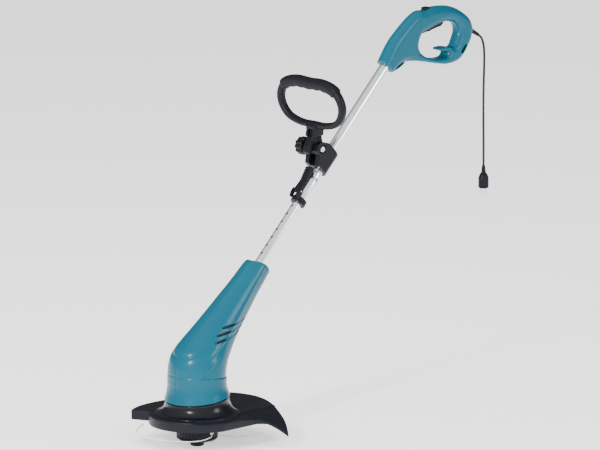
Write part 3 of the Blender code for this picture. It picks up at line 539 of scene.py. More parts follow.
BRONZE = metal("sintered_bronze", (0.52, 0.35, 0.18), 0.45)
print("finishes:", len(bpy.data.materials))

# %% The floor
angles = np.linspace(0.0, 2 * math.pi, 64, endpoint=False)
radii = np.array([0.0, 500.0, 2000.0, 8000.0, 40000.0])[:, None]
disc = placed(UPRIGHT, radii * np.cos(angles), radii * np.sin(angles), 0.0 * radii * angles)
floor = from_grid("floor", disc)
floor.data.flip_normals()
paper = plastic("floor_paper", (0.90, 0.90, 0.91), 0.85, drift=0.01)
paper.node_tree.nodes["Principled BSDF"].inputs["Emission Color"].default_value = (1.0, 1.0, 1.0, 1.0)
paper.node_tree.nodes["Principled BSDF"].inputs["Emission Strength"].default_value = 0.85
floor.data.materials.append(paper)

# %% [markdown]
# ## Cord, strain relief and plug
# A corded trimmer has a short tail of about a third of a metre, which a garden extension lead plugs
# onto. It leaves the handle through a tapered rubber relief and hangs under its own weight, so its
# middle line falls off steeply and then goes straight down to the plug.

# %% The cord's middle line
CORD_R = 2.5
CORD_LONG = 300.0
RELIEF_FOOT = np.array((784.0, 0.0, 760.0))
RELIEF_LONG = 40.0
DIP = math.radians(31.0)
RELIEF_WAY = np.array((math.cos(DIP), 0.0, -math.sin(DIP)))
CORD_START = RELIEF_FOOT + RELIEF_WAY * (RELIEF_LONG + 0.3)
CORD_ROUTE = [(0.0, 0.0), (4.3, -2.9), (8.2, -6.6), (11.8, -12.0), (14.6, -19.0), (16.6, -27.5), (17.8, -38.0),
              (18.2, -50.0), (18.0, -66.0), (17.4, -84.0), (16.7, -104.0), (16.2, -126.0), (16.0, -150.0),
              (16.1, -176.0), (16.3, -202.0), (16.6, -230.0), (16.8, -255.0), (16.8, -278.0)]
route = np.array([CORD_START + (x, 0.0, z) for x, z in CORD_ROUTE])
dense = curve_through(route, np.linspace(0.0, len(route) - 1, 2000))
run = np.concatenate(([0.0], np.cumsum(np.linalg.norm(np.diff(dense, axis=0), axis=1))))
wanted = np.linspace(0.0, min(CORD_LONG, run[-1]), 120)
cord_line = np.stack([np.interp(wanted, run, dense[:, k]) for k in range(3)], axis=1)
CORD_END = cord_line[-1]
print("cord is", round(float(wanted[-1]), 1), "mm long and ends at", np.round(CORD_END, 1))

# %% Cord, relief and plug
cord = swept("mains_cord", cord_line, (CORD_R, CORD_R), ACROSS, 20)
dress(cord, "upper_shaft", SHEATH, ["power_cord"])


def relief_ribs(angle, r, z):
    """Rings moulded into the relief: the radius swells and shrinks along its length."""
    ribbed = ease((z - 8.0) / 4.0) * ease((36.0 - z) / 4.0)
    return np.where(r > 3.4, r - 0.45 * ribbed * (1 + np.cos(2 * math.pi * z / 4.2)), r)


relief_axes = (RELIEF_FOOT, np.array((math.sin(DIP), 0.0, math.cos(DIP))), ACROSS, RELIEF_WAY)
relief_side = [(6.0 - 2.4 * s ** 0.8, 1.5 + (RELIEF_LONG - 2.0) * s) for s in np.linspace(0.0, 1.0, 60)][::-1]
relief_line = [(0.0, RELIEF_LONG), (3.2, RELIEF_LONG)] + relief_side + [(5.6, 1.0), (0.0, 1.0)]
relief = turned("cord_relief", relief_line, relief_axes, 0.0, 40, flutes=relief_ribs)
dress(relief, "upper_shaft", RUBBER, ["strain_relief"])

plug_side = [(0.0, -0.3), (3.4, -0.3), (4.8, -15.0), (8.8, -20.5), (10.9, -27.0), (10.9, -46.0), (9.6, -48.0),
             (0.0, -48.0)]
plug_axes = moved(UPRIGHT, CORD_END)


def finger_grooves(angle, r, z):
    """Four shallow rings round the plug's waist, for the fingers."""
    held = ease((-27.0 - z) / 2.0) * ease((z + 44.0) / 2.0)
    return np.where(r > 10.0, r - 0.5 * held * (1 + np.cos(2 * math.pi * z / 3.6)), r)


plug_line = np.concatenate([fillet(plug_side[:6], 1.2), [(10.9, z) for z in np.linspace(-28.0, -45.0, 50)],
                            fillet(plug_side[5:], 0.8)[1:]])
plug_body = turned("mains_plug", plug_line, plug_axes, 0.0, 48, flutes=finger_grooves)
dress(plug_body, "upper_shaft", SATIN_BLACK, ["power_plug"])
for number, side in enumerate((-5.5, 5.5)):
    pin = turned(f"plug_pin_{number + 1}", [(0.0, -47.0), (2.0, -47.0), (2.0, -66.4), (1.5, -67.0), (0.0, -67.0)],
                 moved(plug_axes, (0.0, side, 0.0)), 0.3, 24)
    dress(pin, "upper_shaft", PLATED)

# %% [markdown]
# ## Motor housing
# The housing is a pair of moulded shells that meet in the middle plane. It starts as a short drum
# over the motor and leans back into a neck that grips the tube. Both belong to one family of
# ovals: each is given by its front point, its rear point and its half width, and the ovals in
# between follow smoothly. The crease below the neck, the raised front with its stepped edge, the
# side panel and the air slots are then pressed in along the surface's own normals.

# %% The ovals
STATIONS = [
    ((-67.0, 95.2), (67.0, 109.2), 67.0), ((-63.5, 112.0), (63.0, 121.0), 63.5),
    ((-61.5, 132.0), (61.0, 136.0), 61.5), ((-61.0, 152.0), (62.0, 153.0), 61.0),
    ((-59.5, 171.0), (66.0, 167.0), 60.0), ((-55.5, 188.0), (71.0, 180.0), 58.0),
    ((-47.0, 203.0), (78.0, 192.0), 54.5), ((-30.0, 218.0), (87.0, 205.0), 50.0),
    ((10.0, 250.0), (98.0, 218.0), 43.5), ((55.0, 286.0), (109.0, 231.0), 38.5),
    ((82.7, 308.0), (131.7, 258.0), 35.0), ((114.1, 333.0), (157.5, 288.8), 31.0),
    ((148.2, 362.5), (187.6, 322.3), 28.0), ((156.6, 368.6), (194.6, 329.8), 26.6)]
FRONTS = np.array([s[0] for s in STATIONS])
REARS = np.array([s[1] for s in STATIONS])
WIDTHS = np.array([s[2] for s in STATIONS])
LAST = len(STATIONS) - 1.0
WALL = 2.6
SEAM = 0.15
MOUTH_T = 247.0
MOUTH_BORE = 10.1


def ovals(where, angle, shrink=0.0, advance=0.0):
    """The half ring at each station number: middle + reach cos(angle) in the middle plane and
    half width sin(angle) across it, with every half axis shortened by shrink."""
    front, rear = curve_through(FRONTS, where), curve_through(REARS, where)
    width = curve_through(WIDTHS, where) - shrink
    middle, reach = (front + rear) / 2, (front - rear) / 2
    reach = reach * (1.0 - shrink / np.linalg.norm(reach, axis=1))[:, None]
    c, s = np.cos(angle)[None, :], np.sin(angle)[None, :]
    x = middle[:, :1] + reach[:, :1] * c + np.reshape(advance * ALONG[0], (-1, 1))
    z = middle[:, 1:] + reach[:, 1:] * c + np.reshape(advance * ALONG[2], (-1, 1))
    return np.stack([x, width[:, None] * s, z + 0.0 * x], axis=-1)


def from_line(x, z, start, end):
    """Distance in mm from the line through two (x, z) points, positive on its left."""
    a, b = np.asarray(start, float), np.asarray(end, float)
    way = (b - a) / np.linalg.norm(b - a)
    return way[0] * (z - a[1]) - way[1] * (x - a[0])


def to_stretch(x, z, start, end):
    """Distance in mm from the stretch between two (x, z) points, and the share of the way along it."""
    a, b = np.asarray(start, float), np.asarray(end, float)
    along = np.clip(((x - a[0]) * (b - a)[0] + (z - a[1]) * (b - a)[1]) / ((b - a) @ (b - a)), 0.0, 1.0)
    return np.hypot(x - a[0] - along * (b - a)[0], z - a[1] - along * (b - a)[1]), along


# %% What is pressed into the shell
SLOT_LINES = [((35.2, 244.6), (113.1, 253.5)), ((19.0, 231.5), (103.9, 242.3)), ((8.0, 218.3), (93.8, 231.0))]
PANEL_CORNER = (-39.0, 150.0)
PANEL_TOP = (13.0, 193.0)
PANEL_END = (62.0, 141.0)
RIDGE_AT = [0.0, 3.0, 4.7, 5.8, 7.0, 8.0, 9.0, 10.0, 11.0, 12.0, 13.0]
RIDGE_ANGLE = [51.0, 51.5, 61.5, 73.0, 83.0, 88.0, 90.0, 89.0, 85.0, 80.0, 78.0]
CREASE_ANGLE = [0.0, 20.0, 35.0, 52.0, 66.0, 90.0]
CREASE_AT = [5.25, 5.36, 5.58, 6.16, 7.0, 8.4]


def pressed(where, angle, base):
    """How far the surface goes in, in mm, and how much of the slot is there, which the shell's finish paints
    near-black as shade inside the slot.
    """
    u = where[:, None] + 0.0 * angle[None, :]
    a = np.degrees(angle)[None, :] + 0.0 * u
    x, y, z = base[..., 0], base[..., 1], base[..., 2]
    across = np.abs(y).max(axis=1)[:, None]
    past_ridge = (a - np.interp(u, RIDGE_AT, RIDGE_ANGLE)) * math.pi / 180.0 * across
    neck = ease((u - 4.2) / 2.2)
    step = 1.9 * ease(past_ridge / 7.0) * neck * ease((13.0 - u) / 0.9) * (1.0 - ease((a - 112.0) / 26.0))
    crease_at = np.interp(a, CREASE_ANGLE, CREASE_AT)
    crease = 2.6 * np.exp(-np.abs(u - crease_at) * 17.0 / 7.0) * (1.0 - ease((a - 48.0) / 26.0))
    above = from_line(x, z, PANEL_CORNER, PANEL_TOP)
    below = from_line(x, z, PANEL_CORNER, PANEL_END)
    panel = ease(-above / 2.2) * ease(below / 2.0) * (1.0 - neck) * ease((170.0 - a) / 12.0)
    brow = 0.7 * (1.0 - ease(np.abs(below) / 2.2)) * ease((55.0 - a) / 6.0)
    seam = 0.5 * np.exp(-(np.abs(y) / 0.6) ** 2)
    slot = np.zeros_like(x)
    for start, end in SLOT_LINES:
        away, share = to_stretch(x, z, start, end)
        half = 0.7 + 1.75 * np.sqrt(np.clip(1.0 - (2.0 * share - 1.0) ** 4, 0.0, 1.0))
        slot = np.maximum(slot, ease((half - away) / 0.9 + 0.5))
    band = 0.9 * ease((2.05 - u) / 0.10) * ease((u - 0.3) / 1.5)
    return step + crease + 1.8 * panel + brow + seam + 2.1 * slot + band, slot


# %% The two shells
def housing_shell(name, side, rows=330, cols=128):
    """One shell: outer skin, rounded mouth down to the bore, and an inner skin a wall's thickness in."""
    where = np.linspace(0.0, LAST, rows)
    angle = np.linspace(0.0, math.pi, cols)
    base = ovals(where, angle)
    normal = np.cross(np.gradient(base, axis=1), np.gradient(base, axis=0))
    normal /= np.linalg.norm(normal, axis=2)[..., None]
    outwards = np.sign(np.sum(normal * (base - base.mean(axis=1, keepdims=True)), axis=2).mean())
    depth, slot = pressed(where, angle, base)
    skin = base - normal * outwards * depth[..., None]
    turn = np.linspace(0.0, math.pi / 2, 9)[1:]
    lip = ovals(np.full(8, LAST), angle, 4.4 * (1.0 - np.cos(turn)), 3.2 * np.sin(turn))
    mouth = on_shaft(MOUTH_T + 1.6)
    ring = mouth + MOUTH_BORE * (np.cos(angle)[:, None] * UPWARD + np.sin(angle)[:, None] * ACROSS)
    outer = np.concatenate([skin, lip, ring[None]])
    t, p = (outer - FOOT) @ ALONG, (outer - FOOT) @ UPWARD
    back = 11.0 * (np.maximum(p, 0.0) / 27.0) ** 2 * ease((t - 222.0) / 25.0)
    outer = outer - back[..., None] * ALONG
    count = len(outer)
    inner = ovals(np.linspace(0.0, 12.0, count - 1), angle, WALL)
    inner = np.concatenate([inner, ring[None] - ALONG * 7.0])
    outer[..., 1] = np.maximum(outer[..., 1], SEAM)
    inner[..., 1] = np.maximum(inner[..., 1], SEAM)
    points = np.concatenate([outer.reshape(-1, 3), inner.reshape(-1, 3)])
    points[:, 1] *= side
    size = count * cols
    faces = [grid_faces(count, cols), grid_faces(count, cols, start=size)]
    r = np.arange(count - 1)
    c = np.arange(cols - 1)
    for k in (0, cols - 1):
        faces.append(np.stack([r * cols + k, (r + 1) * cols + k, size + (r + 1) * cols + k, size + r * cols + k], 1))
    for i in (0, count - 1):
        faces.append(np.stack([i * cols + c, i * cols + c + 1, size + i * cols + c + 1, size + i * cols + c], 1))
    made = make_object(name, points, np.concatenate(faces).tolist())
    # the slot footprint is kept as a mask for the painted shade inside the vent slots
    dark = np.zeros(len(points), np.float32)
    dark[:rows * cols] = slot.ravel()
    layer = made.data.attributes.new("slot_painted_shade", "FLOAT", "POINT")
    if len(made.data.vertices) == len(points):
        layer.data.foreach_set("value", dark)
    else:
        print("slot mask lost:", len(made.data.vertices), len(points))
    return made


for side, word in ((-1.0, "left"), (1.0, "right")):
    shell = housing_shell(f"teal_shell_{word}", side)
    dress(shell, "motor_head", TEAL, [f"motor_housing_{word}"], crease=50.0)
print("housing shells:", PIECES[-2:])

# %% [markdown]
# ## Flared collar
# Below the teal drum a glossy black ring flares out to the guard. Its top edge follows the drum's
# tilted rim, and its foot stands level on the guard, so the tilt fades out on the way down. It is
# set back a little under the drum, which draws the dark joint line.

# %% The collar
RIM_TILT = 0.105
COLLAR_SIDE = [(63.4, 101.6, 1.0), (63.4, 100.0, 1.0), (65.4, 99.4, 1.0), (65.9, 96.0, 1.0), (66.8, 91.0, 0.9),
               (68.6, 85.6, 0.7), (72.4, 79.0, 0.45), (77.6, 74.0, 0.2), (83.6, 71.2, 0.05), (86.2, 70.5, 0.0),
               (87.0, 69.6, 0.0), (87.0, 68.3, 0.0)]
COLLAR_BACK = [(83.0, 68.3, 0.0), (72.5, 74.5, 0.2), (65.0, 86.0, 0.7), (61.5, 101.6, 1.0)]
side_line = curve_through(COLLAR_SIDE, np.linspace(0.0, len(COLLAR_SIDE) - 1, 90))
back_line = curve_through(COLLAR_BACK, np.linspace(0.0, len(COLLAR_BACK) - 1, 20))
section = np.concatenate([side_line, back_line])
angles = np.linspace(0.0, 2 * math.pi, 200, endpoint=False)[None, :]
x = section[:, :1] * np.cos(angles)
collar_grid = np.stack([x, section[:, :1] * np.sin(angles), section[:, 1:2] + RIM_TILT * section[:, 2:] * x], axis=-1)
collar = from_grid("black_collar", collar_grid, wrap_rows=True)
dress(collar, "motor_head", GLOSS_BLACK, ["flared_collar"])

# %% [markdown]
# ## Guard
# The guard is one wide moulding: a fan behind the user's side of the spool, a round lip in front
# and a straight near side. Its outline is drawn in plan. The top is then a height over that plan:
# level in the middle, a step and a slope along the near side, and a wing tip that curls down at the
# corner where the line is trimmed. Edges are rounded by each point's distance from the outline.

# %% Outline in plan
FAN_ANGLES = [-50.6, -45.0, -36.0, -28.0, -20.0, -13.0, 0.0, 10.0, 25.0, 35.0, 45.0, 60.0, 75.0, 90.0, 106.0, 122.0]
FAN_RADII = [188.0, 184.0, 177.0, 174.0, 175.0, 180.0, 193.5, 203.0, 207.0, 195.0, 178.0, 155.0, 141.0, 138.0, 138.5,
             139.0]
LIP_R = 99.0
NEAR_SIDE = 97.0
HUB_R = 24.0
GUARD_Z = 68.0
GUARD_WALL = 3.0
SKIRT_Z = 47.0
fan_turn = np.radians(np.interp(np.linspace(0, 15, 240), np.arange(16), FAN_ANGLES))
fan_reach = curve_through(FAN_RADII, np.linspace(0, 15, 240))
fan_edge = np.stack([fan_reach * np.cos(fan_turn), fan_reach * np.sin(fan_turn)], axis=1)
lip_turn = np.radians(np.linspace(125.5, 258.5, 90))
lip_edge = LIP_R * np.stack([np.cos(lip_turn), np.sin(lip_turn)], axis=1)
NEAR_CORNER = (77.5, -NEAR_SIDE)
corners = np.concatenate([[NEAR_CORNER], fan_edge, lip_edge, [NEAR_CORNER]])
run = np.concatenate(([0.0], np.cumsum(np.linalg.norm(np.diff(corners, axis=0), axis=1))))
OUTLINE_COUNT = 560
wanted = np.linspace(0.0, run[-1], OUTLINE_COUNT, endpoint=False)
outline = np.stack([np.interp(wanted, run, corners[:, k]) for k in range(2)], axis=1)
for _ in range(2):
    outline = (np.roll(outline, 1, axis=0) + 2 * outline + np.roll(outline, -1, axis=0)) / 4
print("guard outline is", round(float(run[-1])), "mm round")


# %% Height over the plan
def guard_top(x, y):
    """68 mm in the middle. Outside the collar's foot and past y = -62 come a small step and a slope,
    and past y = -82 the wing tip falls with the square of the distance."""
    near = np.minimum(-62.0 - y, np.hypot(x, y) - 89.0)
    slope = 2.2 * ease(near / 2.6) + 0.2 * np.clip(near - 2.6, 0.0, 30.0)
    tip = np.maximum(-82.0 - y, 0.0) * np.clip((x - 58.0) / 20.0, 0.0, 1.0)
    return GUARD_Z - slope - 0.0086 * tip ** 2


def to_outline(x, y):
    """Distance from each point to the nearest stretch of the outline."""
    best = np.full(x.shape, 1e9)
    ends = np.roll(outline, -1, axis=0)
    for column in range(x.shape[1]):
        px, py = x[:, column, None], y[:, column, None]
        ax, ay = outline[:, 0][None], outline[:, 1][None]
        dx, dy = (ends - outline)[:, 0][None], (ends - outline)[:, 1][None]
        share = np.clip(((px - ax) * dx + (py - ay) * dy) / (dx * dx + dy * dy), 0.0, 1.0)
        best[:, column] = np.hypot(px - ax - share * dx, py - ay - share * dy).min(axis=1)
    return best


# %% The guard's grid
anchor_run = [0.0, run[1], run[1 + 120], run[240], run[241], run[241 + 45], run[330], run[-1]]
anchor_hub = [-49.0, -40.0, 24.0, 110.0, 124.0, 190.0, 257.0, 311.0]
hub_turn = np.radians(np.interp(wanted, anchor_run, anchor_hub))
hub = HUB_R * np.stack([np.cos(hub_turn), np.sin(hub_turn)], axis=1)
way = np.roll(outline, -1, axis=0) - np.roll(outline, 1, axis=0)
way /= np.linalg.norm(way, axis=1)[:, None]
inward = np.stack([-way[:, 1], way[:, 0]], axis=1)
rim_share = 1.0 - 0.10 * (1.0 - np.sin(np.linspace(0.1, 1.0, 16) * math.pi / 2))
share = np.concatenate([np.linspace(0.0, 0.90, 44), rim_share])
plan = hub[:, None, :] + share[None, :, None] * (outline - hub)[:, None, :]
EDGE_R = 3.6
reach = np.minimum(to_outline(plan[..., 0], plan[..., 1]), EDGE_R)
top_z = guard_top(plan[..., 0], plan[..., 1]) - EDGE_R + np.sqrt(EDGE_R ** 2 - (EDGE_R - reach) ** 2)
edge_z = guard_top(outline[:, 0], outline[:, 1])
skirt_z = np.minimum(SKIRT_Z, edge_z - 5.0)
inset = outline + inward * GUARD_WALL
inset_z = np.maximum(guard_top(inset[:, 0], inset[:, 1]) - GUARD_WALL, skirt_z + 0.6)
columns = [np.concatenate([plan, top_z[..., None]], axis=2)]
for step in (0.5, 0.85):
    down = (edge_z - EDGE_R) * (1 - step) + (skirt_z + 0.6) * step
    columns.append(np.concatenate([outline, down[:, None]], axis=1)[:, None])
columns.append(np.concatenate([outline + inward * 0.6, skirt_z[:, None]], axis=1)[:, None])
columns.append(np.concatenate([outline + inward * (GUARD_WALL - 0.6), skirt_z[:, None]], axis=1)[:, None])
columns.append(np.concatenate([inset, (skirt_z + 0.6)[:, None]], axis=1)[:, None])
columns.append(np.concatenate([inset, inset_z[:, None]], axis=1)[:, None])
under_share = np.linspace(1.0, 0.0, 30)[1:]
under = hub[:, None, :] + under_share[None, :, None] * (inset - hub)[:, None, :]
under_z = guard_top(under[..., 0], under[..., 1]) - GUARD_WALL
columns.append(np.concatenate([under, under_z[..., None]], axis=2))
guard = from_grid("guard_moulding", np.concatenate(columns, axis=1), wrap_rows=True, wrap_cols=True)
dress(guard, "motor_head", GUARD_BLACK, ["guard"], crease=45.0)
print("guard:", PIECES[-1])

# %% [markdown]
# ## Spool, cover, knob and line
# Everything on the cutting axis is turned from a profile. Ribs round the drum and grooves down the
# knob let it be gripped when the spool is opened, so the radius also changes with the angle.

# %% Turned pieces of the cutting head
def drum_ribs(angle, r, z):
    """Thirty-six low ribs on the upright wall: r grows where cos(36 angle) is high."""
    wall = (r > 41.5) & (z < 42.5)
    return np.where(wall, r - 0.9 + 0.9 * ease(0.5 + 1.6 * np.cos(36 * angle)), r)


spool_line = [(4.3, 57.0), (12.0, 57.0), (12.0, 48.5), (38.0, 47.0), (42.5, 43.0), (42.5, 20.3), (39.5, 20.3),
              (39.5, 43.5), (4.3, 43.5)]
spool = turned("spool_drum", spool_line, UPRIGHT, 0.9, 432, ring=True, flutes=drum_ribs)
EYELET_Z = 32.0
eyelet_axes = moved(SIDEWAYS, (0.0, 0.0, EYELET_Z))
combine(spool, [rod("eyelet_hole", 3.1, -60.0, 60.0, eyelet_axes)])
dress(spool, "spool_head", SATIN_BLACK, ["spool_housing"], 30.0)
for number, side in enumerate((-1.0, 1.0)):
    rim = [(1.6, 39.0), (3.0, 39.0), (3.0, 41.8), (4.4, 41.8), (4.4, 43.0), (2.2, 43.4), (1.6, 42.6)]
    axes = (eyelet_axes[0], EAST, side * -ZENITH, side * ACROSS)
    eyelet = turned(f"eyelet_{number + 1}", rim, axes, 0.3, 32, ring=True)
    dress(eyelet, "spool_head", PLATED)


def cover_scallops(angle, r, z):
    """Two finger pads on the cover's rim, where the edge is pressed to release it."""
    pad = ease((np.cos(2 * angle) - 0.90) / 0.05) * (r > 37.0)
    return r - 1.4 * pad * ease(0.5 + 0.9 * np.cos(60 * angle))


cover_line = [(15.3, 20.0), (42.5, 20.0), (42.5, 17.5), (38.0, 13.6), (24.0, 13.6), (22.0, 15.0), (17.5, 15.0),
              (15.3, 13.6)]
cover = turned("spool_lid", cover_line, UPRIGHT, 0.6, 360, ring=True, flutes=cover_scallops)
dress(cover, "spool_head", SATIN_BLACK, ["spool_cover"], 30.0)


def knob_grooves(angle, r, z):
    """Twelve shallow flutes down the bump knob's side."""
    side = (r > 12.0) & (z > 1.5) & (z < 19.0)
    return np.where(side, r - 0.5 - 0.5 * np.cos(12 * angle), r)


knob_line = [(0.0, 26.0), (18.0, 26.0), (18.0, 20.6), (14.9, 20.6), (14.7, 12.0), (14.5, 3.5), (13.4, 1.0),
             (11.5, 0.0), (6.0, 0.0), (5.0, 0.8), (0.0, 0.8)]
bump = turned("bump_button", knob_line, UPRIGHT, 0.5, 144, flutes=knob_grooves)
dress(bump, "bump_feed", SATIN_BLACK, ["bump_knob"], 32.0)

LINE_ONE = [(0.0, -37.0, 32.0), (-1.0, -44.0, 31.0), (-16.0, -54.0, 27.0), (-40.0, -44.0, 22.0),
            (-62.0, -16.0, 20.0), (-82.0, 22.0, 21.0), (-90.0, 62.0, 22.0), (-74.0, 100.0, 23.0),
            (-50.0, 119.0, 25.0), (-26.0, 130.0, 28.0)]
LINE_TWO = [(0.0, 37.0, 32.0), (2.0, 44.0, 31.0), (20.0, 53.0, 27.0), (44.0, 42.0, 19.0),
            (60.0, 14.0, 12.0), (76.0, -14.0, 8.5), (104.0, -38.0, 8.0), (134.0, -54.0, 11.0)]
for word, way in (("left", LINE_ONE), ("right", LINE_TWO)):
    strand = swept(f"nylon_strand_{word}", fine_line(way, 160), (1.0, 1.0), ZENITH, 12)
    dress(strand, "spool_head", NYLON, [f"cutting_line_{word}"])
print("cutting head:", PIECES[-8:])

# %% [markdown]
# ## Tubes and their lock
# The shaft is two drawn aluminium tubes, one inside the other. The lower one has a row of holes that
# the lock's plunger drops into. A bright sleeve with a coned top, a black ring and a wedge-shaped
# lever clamp them together.

# %% Tubes, sleeve and ring
RADIAL = (FOOT, ALONG, ACROSS, UPWARD)
lower = turned("inner_tube", [(8.2, 562.0), (9.5, 562.0), (9.5, 178.0), (8.2, 178.0)], SHAFT, 0.3, 96, ring=True)
HOLE_T = 270.0
HOLE_PITCH = 20.5
holes = [rod(f"adjust_hole_{k}", 2.5, 2.0, 14.0, moved(RADIAL, ALONG * (HOLE_T + HOLE_PITCH * k)), 32)
         for k in range(7)]
combine(lower, holes)
dress(lower, "motor_head", ALUMINIUM, ["lower_tube"], 30.0)
upper = turned("outer_tube", [(9.8, 802.0), (11.0, 802.0), (11.0, 430.3), (9.8, 430.3)], SHAFT, 0.3, 96, ring=True)
dress(upper, "upper_shaft", ALUMINIUM, ["upper_tube"], 30.0)
sleeve_line = [(11.3, 483.0), (12.2, 483.0), (12.5, 470.0), (14.2, 463.0), (14.2, 416.3), (9.8, 416.3), (9.8, 430.0),
               (11.3, 430.0)]
sleeve = turned("bright_sleeve", sleeve_line, SHAFT, 0.7, 96, ring=True)
combine(sleeve, [rod("sleeve_hole", 2.9, 4.0, 20.0, moved(RADIAL, ALONG * 475.5), 32)])
dress(sleeve, "upper_shaft", ALUMINIUM, ["lock_sleeve"], 30.0)
plunger = turned("lock_plunger", [(0.0, 12.3), (2.2, 12.3), (2.6, 11.8), (2.6, 11.2), (0.0, 11.2)],
                 moved(RADIAL, ALONG * 475.5), 0.2, 32)
dress(plunger, "upper_shaft", SATIN_BLACK)

LEVER_T = 423.5
LEVER_P = 19.5
SHAFT_FLAT = (FOOT, ALONG, UPWARD, -ACROSS)
ring = turned("black_ring", [(9.8, 416.0), (16.2, 416.0), (16.2, 404.0), (9.8, 404.0)], SHAFT, 1.6, 96, ring=True)
ear_corners = [(408.5, 13.0), (408.5, 20.0), (417.0, 23.7), (429.0, 23.7), (429.0, 15.6), (417.0, 13.0)]
ear_outline = rounded_loop(ear_corners, 2.4, 6)
ears = [moulded_plate(f"ear_{side:.0f}", ear_outline, 1.5, 0.5, moved(SHAFT_FLAT, ACROSS * side * 10.8))
        for side in (-1.0, 1.0)]
combine(ring, ears, "UNION")
pin_axes = (on_shaft(LEVER_T, LEVER_P), EAST, -ZENITH, ACROSS)
combine(ring, [rod("pin_way", 1.8, -20.0, 20.0, pin_axes, 32)])
dress(ring, "upper_shaft", SATIN_BLACK, ["lock_ring"], 32.0)

# %% Lever
def lever_side(t):
    """Outer edge of the lever: rises towards the tip, with five finger ribs from t = 448 to 476."""
    rise = np.interp(t, [LEVER_T, 446.0, 468.0, 477.0], [LEVER_P + 4.0, 21.6, 26.6, 28.6])
    return rise - 0.55 * (1 - np.cos(2 * math.pi * (t - 448.0) / 5.6)) * (t > 448.0) * (t < 476.0)


t_run = np.linspace(447.0, 476.5, 90)
lever_outline = np.concatenate([
    arc_points((LEVER_T, LEVER_P), 4.0, 235.0, 90.0, 14),
    np.stack([t_run, lever_side(t_run)], axis=1),
    corner_arc(np.array((474.0, 28.0)), np.array((481.0, 28.8)), np.array((479.4, 17.0)), 2.5, 5),
    corner_arc(np.array((481.0, 28.8)), np.array((479.4, 16.9)), np.array((430.0, 14.9)), 1.2, 4),
    [(430.0, 14.9)]])
lever = moulded_plate("wedge_lever", lever_outline, 8.7, 1.3, SHAFT_FLAT)
combine(lever, [rod("lever_way", 1.8, -20.0, 20.0, pin_axes, 32)])
dress(lever, "lock_lever", SATIN_BLACK, ["lock_lever"], 40.0)
pin = turned("lever_axle", [(0.0, 12.3), (1.5, 12.3), (1.5, -12.3), (0.0, -12.3)], pin_axes, 0.4, 32)
dress(pin, "upper_shaft", PLATED, ["lever_pin"])
print("shaft:", PIECES[-8:])

# %% [markdown]
# ## Front handle clamp
# Two mirrored mouldings embrace the tube and stand up as cheeks round the handle's eye. Each is the
# union of a flat cheek and a round barrel with the bore, the eye's slot and the bolt's way cut out,
# and then every edge is softened as a mould would leave it.

# %% Clamp halves
BOLT_T = 519.0
BOLT_P = 39.7
CLAMP_LOW = 489.0
CLAMP_HIGH = 540.0
CHEEK_OUT = 20.0
bolt_at = on_shaft(BOLT_T, BOLT_P)
BOLT_AXES = (bolt_at, EAST, -ZENITH, ACROSS)
lug = arc_points((BOLT_T, BOLT_P), 15.0, 20.0, 190.0, 24)
cheek_outline = np.concatenate([[(CLAMP_LOW, 0.0), (CLAMP_HIGH, 0.0), (CLAMP_HIGH, 33.0)], lug,
                                [(CLAMP_LOW, 26.0)]])
middle_t = (CLAMP_LOW + CLAMP_HIGH) / 2
for word, side in (("left", -1.0), ("right", 1.0)):
    cheek = moulded_plate(f"cheek_{word}", cheek_outline, CHEEK_OUT / 2, 0.0,
                          moved(SHAFT_FLAT, ACROSS * side * CHEEK_OUT / 2), 1)
    combine(cheek, [rod("barrel", 17.0, CLAMP_LOW, CLAMP_HIGH, SHAFT, 96)], "UNION")
    cuts = [block("other_side", (90.0, 90.0, 60.0), (middle_t, 0.0, -side * (0.4 - 30.0)), SHAFT_FLAT),
            block("under_corner", (90.0, 60.0, 60.0), (middle_t, -30.0, -side * 47.0), SHAFT_FLAT),
            rod("tube_way", 11.3, CLAMP_LOW - 20.0, CLAMP_HIGH + 20.0, SHAFT, 96),
            block("eye_slot", (90.0, 60.0, 18.0), (middle_t, 49.0, 0.0), SHAFT_FLAT),
            rod("bolt_way", 3.3, -60.0, 60.0, BOLT_AXES, 48)]
    if side < 0:
        cuts.append(rod("head_recess", 9.0, -26.0, -16.0, BOLT_AXES, 64))
    combine(cheek, cuts)
    softened(cheek, 0.9, 40.0, 3)
    cheek.name = f"clamp_cheek_{word}"
    dress(cheek, "handle_clamp", SATIN_BLACK, [f"clamp_half_{word}"], 40.0)

# %% Bolt and knob
def hexagon(angle, r, z):
    """A circle pressed to six flats: r cos(30) / cos of the angle from the nearest flat's middle."""
    nearest = (angle + math.pi / 6) % (math.pi / 3) - math.pi / 6
    return np.where(r > 5.0, np.minimum(r, 5.55 / np.cos(nearest)), r)


HEAD_Y = -CHEEK_OUT + 3.7
head_axes = (bolt_at + ACROSS * HEAD_Y, EAST, ZENITH, -ACROSS)
bolt_line = [(0.0, 4.2), (2.6, 4.2), (3.2, 4.6), (5.2, 4.6), (6.4, 3.9), (6.4, 0.0), (3.0, 0.0),
             (3.0, -58.0), (0.0, -58.0)]
bolt = turned("hex_bolt", bolt_line, head_axes, 0.15, 96, flutes=hexagon)
dress(bolt, "handle_clamp", PLATED, ["clamp_bolt"], 25.0)


def lobes(angle, r, z):
    """Ten finger lobes: r falls by up to 2.2 mm between them."""
    return np.where(r > 12.0, r - 2.2 * (0.5 - 0.5 * np.cos(10 * angle)) ** 1.6, r)


knob_side = [(3.3, 45.0), (12.5, 46.0), (16.5, 45.6), (19.0, 42.5), (19.0, 28.5), (17.5, 26.0), (10.0, 26.0), (10.0, 20.7),
             (3.3, 20.7)]
knob = turned("fluted_knob", knob_side, BOLT_AXES, 1.2, 300, ring=True, flutes=lobes)
dress(knob, "clamp_knob", SATIN_BLACK, ["clamp_knob"], 40.0)
print("clamp:", PIECES[-4:])

# %% [markdown]
# ## Loop handle
# The loop is one bar carried round a rounded D that leans back a little. A rubber sleeve with three
# finger swells covers its top, and a flat neck with a round eye drops from it into the clamp.

